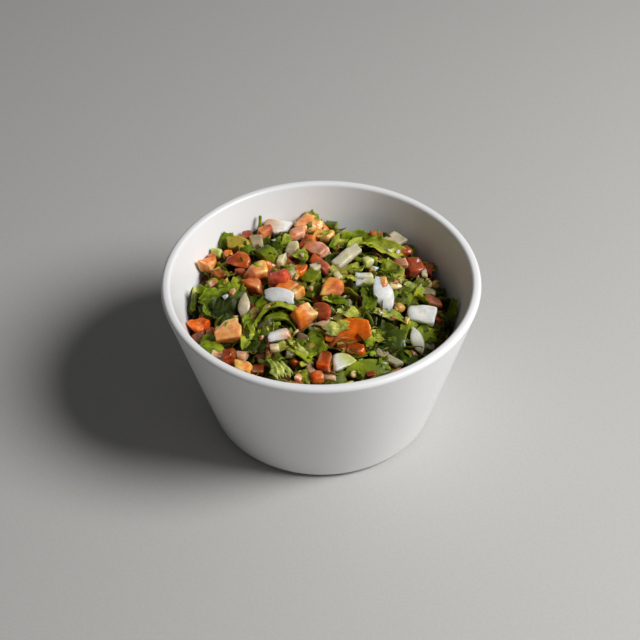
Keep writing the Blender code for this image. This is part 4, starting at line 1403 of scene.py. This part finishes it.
class LeafVeins(EffectGroup):
    """Middle vein, slanting side veins and cells of a leaf, from where a point lies on it."""

    name = "leaf_veins"
    inputs = {
        "Tint": (0.2, 0.3, 0.05, 1),
        "Mark": (0, 0, 0, 1),
        "Vein": (2.0, 2.0, 2.0, 1),
        "Vein Share": 0.5,
        "Vein Count": 5.0,
    }
    outputs = ("Colour", "Height")

    @classmethod
    def fill(cls, nodes: NodeTree, given: bpy.types.bpy_prop_collection) -> dict:
        """Adds the veins as thin lines, and blotches of lighter and darker green.

        Args:
            nodes: The group's nodes.
            given: The group's inputs, as sockets.

        Returns:
            What feeds each output.
        """
        along, across, _ = nodes.add("SeparateColor", {0: given["Mark"]}).outputs
        place = nodes.place()
        drift = nodes.noise(place, 260.0, 2.0)
        away = nodes.math("ABSOLUTE", nodes.plus(across, nodes.times(nodes.plus(drift, -0.5), 0.18)))
        slant = nodes.plus(nodes.plus(along, nodes.times(away, -0.55)), nodes.times(drift, 0.08))
        step = nodes.math("FRACT", nodes.times(nodes.plus(slant, 4.0), given["Vein Count"]))
        line = nodes.remap(nodes.math("ABSOLUTE", nodes.plus(step, -0.5)), 0.13, 0.03)
        line = nodes.times(line, nodes.remap(away, 0.5, 0.2, (0.1, 0.75)))
        vein = nodes.math("MAXIMUM", nodes.remap(away, 0.05, 0.015), line)
        patch = nodes.noise(place, 420.0, 3.0)
        dark = nodes.mix(0.45, given["Tint"], (0.02, 0.035, 0.004, 1))
        colour = nodes.mix(nodes.remap(patch, 0.46, 0.68), given["Tint"], dark)
        return {
            "Colour": nodes.mix(nodes.times(vein, given["Vein Share"]), colour, given["Vein"], "MULTIPLY"),
            "Height": nodes.math("SUBTRACT", nodes.times(patch, 0.7), nodes.times(vein, 0.5)),
        }


class FibreLines(EffectGroup):
    """Fine uneven lines that run along a piece, as the fibres of a layer or of flesh do."""

    name = "fibre_lines"
    inputs = {
        "Tint": (0.5, 0.5, 0.5, 1),
        "Mark": (0, 0, 0, 1),
        "Start": 0.0,
        "Fibre": (1.2, 1.2, 1.2, 1),
        "Fibre Share": 0.4,
        "Fibre Count": 7.0,
    }
    outputs = ("Colour", "Height")

    @classmethod
    def fill(cls, nodes: NodeTree, given: bpy.types.bpy_prop_collection) -> dict:
        """Stretches a noise along the piece, and starts it elsewhere on each piece.

        Args:
            nodes: The group's nodes.
            given: The group's inputs, as sockets.

        Returns:
            What feeds each output.
        """
        along, across, through = nodes.add("SeparateColor", {0: given["Mark"]}).outputs
        count = given["Fibre Count"]
        depth = nodes.plus(nodes.times(through, count), nodes.times(given["Start"], 37.0))
        place = nodes.add("CombineXYZ", {0: along, 1: nodes.times(across, count), 2: depth}).outputs[0]
        noise = nodes.noise(place, 1.3, 2.0, 0.3)
        share = nodes.times(nodes.remap(noise, 0.44, 0.64), given["Fibre Share"])
        return {"Colour": nodes.mix(share, given["Tint"], given["Fibre"], "MULTIPLY"), "Height": noise}


@dataclass(frozen=True)
class Flesh:
    """Finish of cut flesh: its fibres and patches, how far light goes in, and its wet coat."""

    name: str
    pale: tuple[float, float, float]
    deep: tuple[float, float, float]
    pale_share: float
    deep_share: float
    patch_scale: float
    light_depth: tuple[float, float, float]
    light_share: float
    gloss: tuple[float, float]
    bump: float
    relief: float = 0.0004
    fibre_relief: float = 0.5
    ior: float = 1.36
    coat: float = 0.12
    coat_roughness: float = 0.1
    fibre: tuple[float, float, float] = (0.5, 0.5, 0.5)
    fibre_share: float = 0.0
    fibre_count: float = 6.0

    def material(self) -> bpy.types.Material:
        """Builds the finish.

        Returns:
            The material.
        """
        material, nodes, shader = new_material(self.name)
        lines = FibreLines.place(
            nodes,
            Tint=nodes.attribute("tint"),
            Mark=nodes.attribute("mark"),
            Start=nodes.attribute("mark", "Alpha"),
            Fibre=(*self.fibre, 1),
            Fibre_Share=self.fibre_share,
            Fibre_Count=self.fibre_count,
        )
        mottle = WetMottle.place(
            nodes,
            Tint=lines["Colour"],
            Pale=(*self.pale, 1),
            Deep=(*self.deep, 1),
            Patch_Scale=self.patch_scale,
            Pale_Share=self.pale_share,
            Deep_Share=self.deep_share,
            Gloss_Low=self.gloss[0],
            Gloss_High=self.gloss[1],
        )
        height = nodes.plus(mottle["Height"], nodes.times(lines["Height"], self.fibre_relief))
        looks = {
            "Base Color": mottle["Colour"],
            "Roughness": mottle["Roughness"],
            "Normal": nodes.bump(height, self.bump, self.relief),
            "Subsurface Weight": self.light_share,
            "Subsurface Radius": self.light_depth,
            "Subsurface Scale": 1.0,
            "IOR": self.ior,
            "Coat Weight": self.coat,
            "Coat Roughness": self.coat_roughness,
        }
        nodes.feed(shader, looks)
        return material


@dataclass(frozen=True)
class LeafSkin:
    """Finish of herb leaves: veins, blotches and a wet sheen."""

    name: str = "herb_green"
    vein: tuple[float, float, float] = (2.1, 1.9, 2.2)
    vein_share: float = 0.5
    vein_count: float = 5.0
    bump: float = 0.4
    relief: float = 0.0003
    roughness: float = 0.48
    ior: float = 1.33
    sheen: float = 0.35
    light_share: float = 0.4
    light_depth: tuple[float, float, float] = (0.0009, 0.0009, 0.0002)

    def material(self) -> bpy.types.Material:
        """Builds the finish.

        Returns:
            The material.
        """
        material, nodes, shader = new_material(self.name)
        veins = LeafVeins.place(
            nodes,
            Tint=nodes.attribute("tint"),
            Mark=nodes.attribute("mark"),
            Vein=(*self.vein, 1),
            Vein_Share=self.vein_share,
            Vein_Count=self.vein_count,
        )
        looks = {
            "Base Color": veins["Colour"],
            "Normal": nodes.bump(veins["Height"], self.bump, self.relief),
            "Roughness": self.roughness,
            "Subsurface Weight": self.light_share,
            "Subsurface Radius": self.light_depth,
            "Subsurface Scale": 1.0,
            "IOR": self.ior,
            "Specular IOR Level": self.sheen,
        }
        nodes.feed(shader, looks)
        return material


TOMATO_FLESH = Flesh(
    name="tomato_flesh",
    pale=(1.45, 1.55, 1.8),
    deep=(0.7, 0.52, 0.4),
    pale_share=0.5,
    deep_share=0.5,
    patch_scale=380.0,
    light_depth=(0.0034, 0.0015, 0.0004),
    light_share=0.85,
    gloss=(0.14, 0.34),
    bump=0.42,
    fibre=(1.3, 1.35, 1.6),
    fibre_share=0.5,
    fibre_count=3.0,
)
ONION_FLESH = Flesh(
    name="onion_flesh",
    pale=(1.06, 1.07, 1.12),
    deep=(0.78, 0.72, 0.58),
    pale_share=0.6,
    deep_share=0.5,
    patch_scale=240.0,
    light_depth=(0.0045, 0.0042, 0.0032),
    light_share=0.9,
    gloss=(0.24, 0.42),
    bump=0.16,
    fibre=(0.82, 0.82, 0.72),
    fibre_share=0.3,
    fibre_count=5.0,
    coat=0.04,
)
PEPPER_SKIN = Flesh(
    name="pepper_skin",
    pale=(1.7, 1.6, 1.6),
    deep=(0.5, 0.55, 0.5),
    pale_share=0.5,
    deep_share=0.6,
    patch_scale=300.0,
    light_depth=(0.0006, 0.0010, 0.0002),
    light_share=0.2,
    gloss=(0.2, 0.4),
    bump=0.25,
    coat=0.2,
)
SEED_SKIN = Flesh(
    name="seed_skin",
    pale=(1.1, 1.12, 1.15),
    deep=(0.7, 0.55, 0.4),
    pale_share=0.5,
    deep_share=0.5,
    patch_scale=700.0,
    light_depth=(0.0012, 0.0008, 0.0004),
    light_share=0.4,
    gloss=(0.12, 0.3),
    bump=0.4,
    coat=0.2,
)
# The core's finish: its patches darken the colour to near black, a painted shade for the gaps between the
# pieces.
SHADED_MASH = Flesh(
    name="shaded_mash",
    pale=(0.20, 0.10, 0.035),
    deep=(0.012, 0.018, 0.004),
    pale_share=0.8,
    deep_share=0.9,
    patch_scale=260.0,
    light_depth=(0.001, 0.0006, 0.0003),
    light_share=0.1,
    gloss=(0.12, 0.35),
    bump=0.8,
)
FINISHES = {TOMATO: TOMATO_FLESH, ONION: ONION_FLESH, PEPPER: PEPPER_SKIN, HERB: LeafSkin(), PIP: SEED_SKIN}
FOOD_SHADE = {TOMATO: 1.0, ONION: 0.96, PEPPER: 0.8, HERB: 1.02, PIP: 0.95}


@dataclass(frozen=True)
class Speckled:
    """Plain finish with two close colours in patches: the bowl's glaze, or the floor."""

    name: str
    colour: tuple[float, float, float]
    shade: tuple[float, float, float]
    patch_scale: float
    patch_detail: float
    patch_range: tuple[float, float]
    roughness: float
    bump: float = 0.0
    bump_scale: float = 700.0
    relief: float = 0.0002
    ior: float = 1.5

    def material(self) -> bpy.types.Material:
        """Builds the finish.

        Returns:
            The material.
        """
        material, nodes, shader = new_material(self.name)
        place = nodes.place()
        patches = nodes.remap(nodes.noise(place, self.patch_scale, self.patch_detail), *self.patch_range)
        looks = {
            "Base Color": nodes.mix(patches, (*self.colour, 1), (*self.shade, 1)),
            "Roughness": self.roughness,
            "IOR": self.ior,
        }
        if self.bump:
            looks["Normal"] = nodes.bump(nodes.noise(place, self.bump_scale, 1.0), self.bump, self.relief)
        nodes.feed(shader, looks)
        return material


GLAZE = Speckled(
    name="white_glaze",
    colour=(0.86, 0.86, 0.86),
    shade=(0.85, 0.85, 0.845),
    patch_scale=16.0,
    patch_detail=1.0,
    patch_range=(0.25, 0.75),
    roughness=0.265,
    bump=0.06,
)
PALE_FLOOR = Speckled(
    name="pale_floor",
    colour=(0.54, 0.53, 0.51),
    shade=(0.5238, 0.5141, 0.4947),
    patch_scale=900.0,
    patch_detail=2.0,
    patch_range=(0.4, 0.6),
    roughness=0.6,
)


@dataclass
class Bowl:
    """The white bowl."""

    form: BowlForm = BOWL
    segments: int = 192
    arc_steps: int = 10
    sharp_from: float = 50.0

    def arc(
        self, centre: tuple[float, float], radius: float, start: float, end: float
    ) -> list[tuple[float, float]]:
        """Points of an arc in the half section.

        Args:
            centre: Its centre, as radius and height.
            radius: Its radius.
            start: Its first angle.
            end: Its last angle.

        Returns:
            The points, as radius and height.
        """
        angles = np.radians(np.linspace(start, end, self.arc_steps + 1))
        return [(centre[0] + radius * math.cos(a), centre[1] + radius * math.sin(a)) for a in angles]

    def profile(self) -> list[tuple[float, float]]:
        """Half section, from the floor's middle up the inside, over the rim and down the outside.

        Returns:
            The points, as radius and height.
        """
        form = self.form
        inner_lean = math.degrees(math.atan(form.inner_flare))
        outer_lean = math.degrees(math.atan(form.outer_flare))
        floor = [(form.floor_turn[0] * share, form.floor_height) for share in (0.0, 0.3, 0.6)]
        floor += self.arc(form.floor_turn, form.floor_round, -90, -inner_lean)
        inner_lip = (form.inner_radius(form.shoulder) + form.rim_round, form.shoulder)
        outer_lip = (form.rim_radius - form.rim_round, form.shoulder)
        rim = self.arc(inner_lip, form.rim_round, 180 - inner_lean, 90)
        rim += self.arc(outer_lip, form.rim_round, 90, -outer_lean)
        base_r = form.base_radius + form.base_round * (form.outer_flare - math.hypot(1, form.outer_flare))
        base = self.arc((base_r, form.base_round), form.base_round, -outer_lean, -90)
        foot = [(form.foot_inner_radius, 0), (form.foot_inner_radius - form.foot_chamfer, form.foot_recess)]
        foot += [(form.foot_inner_radius * 0.5, form.foot_recess), (0.0, form.foot_recess)]
        return floor + rim + base + foot

    def build(self) -> bpy.types.Object:
        """Turns the half section about the Z axis.

        Returns:
            The bowl, dressed, in place of its solid.
        """
        first, *rings, last = self.profile()
        turns = np.linspace(0, 2 * math.pi, self.segments, endpoint=False)
        points = [(r * math.cos(a), r * math.sin(a), z) for r, z in rings for a in turns]
        points = [(0, 0, first[1]), *points, (0, 0, last[1])]
        obj = mesh_object("bowl_shell", points, ring_faces(len(rings), self.segments), GLAZE.material())
        obj.data.set_sharp_from_angle(angle=math.radians(self.sharp_from))
        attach(obj, "root")
        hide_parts("bowl")
        return obj


@dataclass
class HeapCore:
    """What the pieces lie on: juice and fine chopped food, coloured near black as a painted shade in the
    gaps.
    """

    drop: float = 3.6
    gap: float = 0.5
    segments: int = 120
    rings: int = 40
    turn_steps: int = 6
    seed: int = 31
    lumps: tuple[float, float] = (5.0, 0.9)
    small_lumps: tuple[float, float] = (1.8, 0.35)
    patches: tuple[float, float] = (7.0, 1.0)
    calm_edge: float = 4.0

    def top(self) -> np.ndarray:
        """Top of the core, level by level outward.

        Returns:
            Its points, the middle one first.
        """
        gap = self.gap * math.hypot(1, BOWL.inner_flare)
        points = []
        for share in np.linspace(0, 1, self.rings + 1):
            for angle in np.linspace(0, 2 * math.pi, self.segments, endpoint=False) if share else (0.0,):
                x, y = share * math.cos(angle), share * math.sin(angle)
                at = HEAP.level_radius * x, HEAP.level_radius * y
                z = float(HEAP.level(*at)) + bed_rise(*at) - self.drop
                edge = BOWL.inner_radius(z) - gap
                points.append((edge * x, edge * y, z))
        return np.array(points)

    def build(self) -> bpy.types.Object:
        """Makes the core with its lumpy top.

        Returns:
            The core, dressed.
        """
        draws = np.random.default_rng(self.seed)
        top = self.top()
        lumps = wobble(top, draws, *self.lumps)[:, 2] + wobble(top, draws, *self.small_lumps)[:, 2]
        inside = HEAP.level_radius - np.hypot(top[:, 0], top[:, 1])
        top[:, 2] += lumps * np.clip(inside / self.calm_edge, 0, 1)
        lean = math.degrees(math.atan(BOWL.inner_flare))
        turns = np.linspace(0, 2 * math.pi, self.segments, endpoint=False)
        across, height = BOWL.floor_turn
        side = []
        for a in np.radians(np.linspace(-lean, -90, self.turn_steps + 1)):
            radius = across + (BOWL.floor_round - self.gap) * math.cos(a)
            z = height + (BOWL.floor_round - self.gap) * math.sin(a)
            side += [(radius * math.cos(turn), radius * math.sin(turn), z) for turn in turns]
        points = np.vstack((top, side, [(0, 0, BOWL.floor_height + self.gap)]))
        green = np.clip(0.5 + wobble(points, draws, *self.patches)[:, :1], 0, 1)
        # Brown and green patches of the mash, darkened as a painted shade.
        tints = mixed(linear(BROWN) * 0.6, linear(DEEP) * 0.5, green)
        faces = ring_faces(self.rings + self.turn_steps + 1, self.segments)
        return mesh_object("heap_core", points, faces, SHADED_MASH.material(), {"tint": tints})


@dataclass
class Heap:
    """The chopped food on its core."""

    cutter: Cutter = Cutter()
    filling: Filling = Filling()
    # Painted shade on the layer of pieces under the others, which show only in the gaps.
    under_painted_shade: float = 0.4
    extra_first: int = 300
    tucked_first: int = 400
    under_first: int = 1000
    crumb_first: int = 2000
    crumb_count: int = 190
    crumb_seed: int = 9
    crumb_spread: float = 0.96
    crumb_jitter: float = 2.0
    crumb_sizes: tuple[float, float] = (0.6, 1.3)
    crumb_slope: float = 0.2
    crumb_sit: float = 0.4
    scrap_share: float = 0.62
    onion_crumb_share: float = 0.1
    share_on_tomato: float = 0.1
    shapes: dict[Food, list[Shape]] = field(default_factory=dict)

    def paint_height_shade(self, bit: Bit, shape: Shape, shade: float) -> None:
        """Paints shade on a piece by height: darker towards its foot and a little lighter at its top, and
        redder towards the foot of tomato.

        Args:
            bit: The piece.
            shape: Its shape, in its place.
            shade: Share of its colour that is left as a whole; below one, a painted shade on pieces that lie
                low in the gaps.
        """
        z = shape.points[:, 2]
        low = float(z.min())
        high = column(smoothstep(low - 0.2, low + 0.85 * float(np.ptp(z)), z))
        foot = 0.78 if bit.food is TOMATO else 0.62
        # Painted shade by height: the colour is darker towards the piece's foot and a little lighter at its
        # top.
        shape.tints = shape.tints * (shade * FOOD_SHADE[bit.food] * (foot + (1.06 - foot) * high))
        # On tomato the painted shade at the foot is also redder.
        if bit.food is TOMATO:
            shape.tints = shape.tints * (1 - (1 - high) * np.array((0.0, 0.1, 0.3)))

    def stand(self, bit: Bit, shape: Shape) -> None:
        """Turns a piece and puts it on the heap, then moves it inward until it is clear of the bowl's wall.

        Args:
            bit: The piece.
            shape: Its shape at the origin.
        """
        turned = rotation("Z", bit.turn) @ rotation("Y", -bit.tip) @ rotation("X", bit.roll)
        place = np.array((bit.x, bit.y, HEAP.level(bit.x, bit.y) + bit.lift))
        shape.points = shape.points @ np.array(turned).T + place
        inward = np.array((-bit.x, -bit.y, 0)) / max(math.hypot(bit.x, bit.y), 1e-6)
        for _ in range(4):
            x, y, z = shape.points.T
            over = float((np.hypot(x, y) - (BOWL.inner_radius(z) - HEAP.piece_gap)).max())
            if over > 0:
                shape.points = shape.points + inward * (over + 0.05)

    def cut(self, bits: list[Bit], first: int, coarse: bool = False, shade: float = 1.0) -> None:
        """Cuts pieces and puts them on the heap.

        Args:
            bits: The pieces.
            first: Number of the first one.
            coarse: True for pieces that hardly show.
            shade: Share of their colour that is left, a painted shade on pieces that lie low in the gaps.
        """
        for number, bit in enumerate(bits, first):
            shape = self.cutter.shape(bit, number, coarse)
            self.stand(bit, shape)
            self.paint_height_shade(bit, shape, shade)
            self.shapes.setdefault(bit.food, []).append(shape)

    def crumb(self, rng: random.Random, kind: float, x: float, y: float) -> Bit:
        """One crumb: a scrap of leaf, of onion or of tomato pulp.

        Args:
            rng: Source of the draws.
            kind: A draw, 0 to 1, that picks the food.
            x: Place across.
            y: Place away from the viewer.

        Returns:
            The crumb.
        """
        size, spin = rng.uniform(*self.crumb_sizes), spun(rng, 360, 25, 25)
        if kind < self.scrap_share:
            tones, edge = rng.choice(SCRAP_PAIRS), rng.choice((FRILLED, TORN))
            sides = (*scaled((3.2, 1.9), size), 0.3)
            return Bit(HERB, LEAF, x, y, 0, sides, tones, bend=60, cup=40, edge=edge, **spin)
        if kind < self.scrap_share + self.onion_crumb_share:
            sides = scaled((1.9, 1.2, 0.9), size)
            return Bit(ONION, DICE, x, y, 0, sides, rng.choice(ONION_CRUMB_PAIRS), **spin)
        return Bit(TOMATO, DICE, x, y, 0, scaled((2.2, 1.5, 1.0), size), rng.choice(PULP_PAIRS), **spin)

    def crumbs(self) -> None:
        """Drops small shreds and crumbs on the pieces that lie on top."""
        points, quads = joined([shape for shapes in self.shapes.values() for shape in shapes])
        tree = BVHTree.FromPolygons(points.tolist(), quads.tolist())
        foods = [food for food, shapes in self.shapes.items() for shape in shapes for _ in shape.quads]
        rng = random.Random(self.crumb_seed)
        for index in range(self.crumb_count):
            x, y = self.filling.spot(rng, index, self.crumb_count, self.crumb_jitter, self.crumb_spread)
            hit, normal, face, _ = tree.ray_cast(Vector((x, y, BOWL.height + 5)), Vector((0, 0, -1)))
            kind = rng.random()
            if hit is None or normal.z < self.crumb_slope:
                continue
            if foods[face] is ONION or foods[face] is TOMATO and kind > self.share_on_tomato:
                continue
            bit = self.crumb(rng, kind, x, y)
            shape = self.cutter.shape(bit, self.crumb_first + index, coarse=True)
            lean = Vector((0, 0, 1)).rotation_difference(normal).to_matrix() @ rotation("Z", bit.turn)
            sit = hit + normal * bit.size[2] * self.crumb_sit
            shape.points = shape.points @ np.array(lean).T + np.array(sit)
            self.shapes[bit.food].append(shape)

    def build(self) -> list[bpy.types.Object]:
        """Builds every food of the heap.

        Returns:
            The objects, one for each food and the core.
        """
        self.cut(list(LISTED) + self.filling.between(), 0)
        self.cut(EXTRA, self.extra_first)
        self.cut(TUCKED, self.tucked_first)
        self.cut(self.filling.under(), self.under_first, coarse=True, shade=self.under_painted_shade)
        self.crumbs()
        made = [HeapCore().build()]
        for food, shapes in self.shapes.items():
            points, quads = joined(shapes)
            tints = np.concatenate([shape.tints for shape in shapes])
            layers = {"tint": tints, "mark": np.concatenate([shape.marks for shape in shapes])}
            made.append(mesh_object(food.value, points, quads.tolist(), FINISHES[food].material(), layers))
        for obj in made:
            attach(obj, "root")
            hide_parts("pico_heap")
        return made


@dataclass(frozen=True)
class Studio:
    """Plain pale floor and soft studio light: a large light from the right, above the viewer's side."""

    floor_size: float = 6000.0
    key_azimuth: float = -16.0
    key_elevation: float = 44.0
    key_distance: float = 900.0
    key_aim: float = 45.0
    key_size: float = 420.0
    key_power: float = 9.3
    sky: tuple[float, float, float] = (0.97, 0.98, 1.0)
    sky_strength: float = 0.08

    def build(self) -> None:
        """Makes the floor, the light and the soft light all round."""
        half = self.floor_size / 2
        corners = [(-half, -half, 0), (half, -half, 0), (half, half, 0), (-half, half, 0)]
        floor = mesh_object("floor", corners, [(0, 1, 2, 3)], PALE_FLOOR.material())
        self.key()
        world = bpy.data.worlds.new("soft_room")
        world.use_nodes = True
        back = {"Color": (*self.sky, 1), "Strength": self.sky_strength}
        NodeTree(world.node_tree).feed(world.node_tree.nodes["Background"], back)
        bpy.context.scene.world = world
        bpy.context.scene.view_settings.view_transform = "Standard"

    def key(self) -> None:
        """Makes the large light."""
        data = bpy.data.lights.new("key_light", "AREA")
        data.energy, data.shape, data.size = self.key_power, "DISK", self.key_size * MM
        light = linked("key_light", data)
        rise, side = math.radians(self.key_elevation), math.radians(self.key_azimuth)
        way = Vector((math.cos(rise) * math.cos(side), math.cos(rise) * math.sin(side), math.sin(rise)))
        light.location = (way * self.key_distance + Vector((0, 0, self.key_aim))) * MM
        light.rotation_euler = way.to_track_quat("Z", "Y").to_euler()


def main() -> None:
    """Builds the camera, the studio, the bowl and the heap, and reports each piece."""
    logging.basicConfig(level=logging.INFO, format="%(message)s")
    PHOTO.camera()
    Studio().build()
    for obj in [Bowl().build()] + Heap().build():
        log.info("%s: %d triangles", obj.name, sum(len(face.vertices) - 2 for face in obj.data.polygons))


if __name__ == "__main__":
    main()
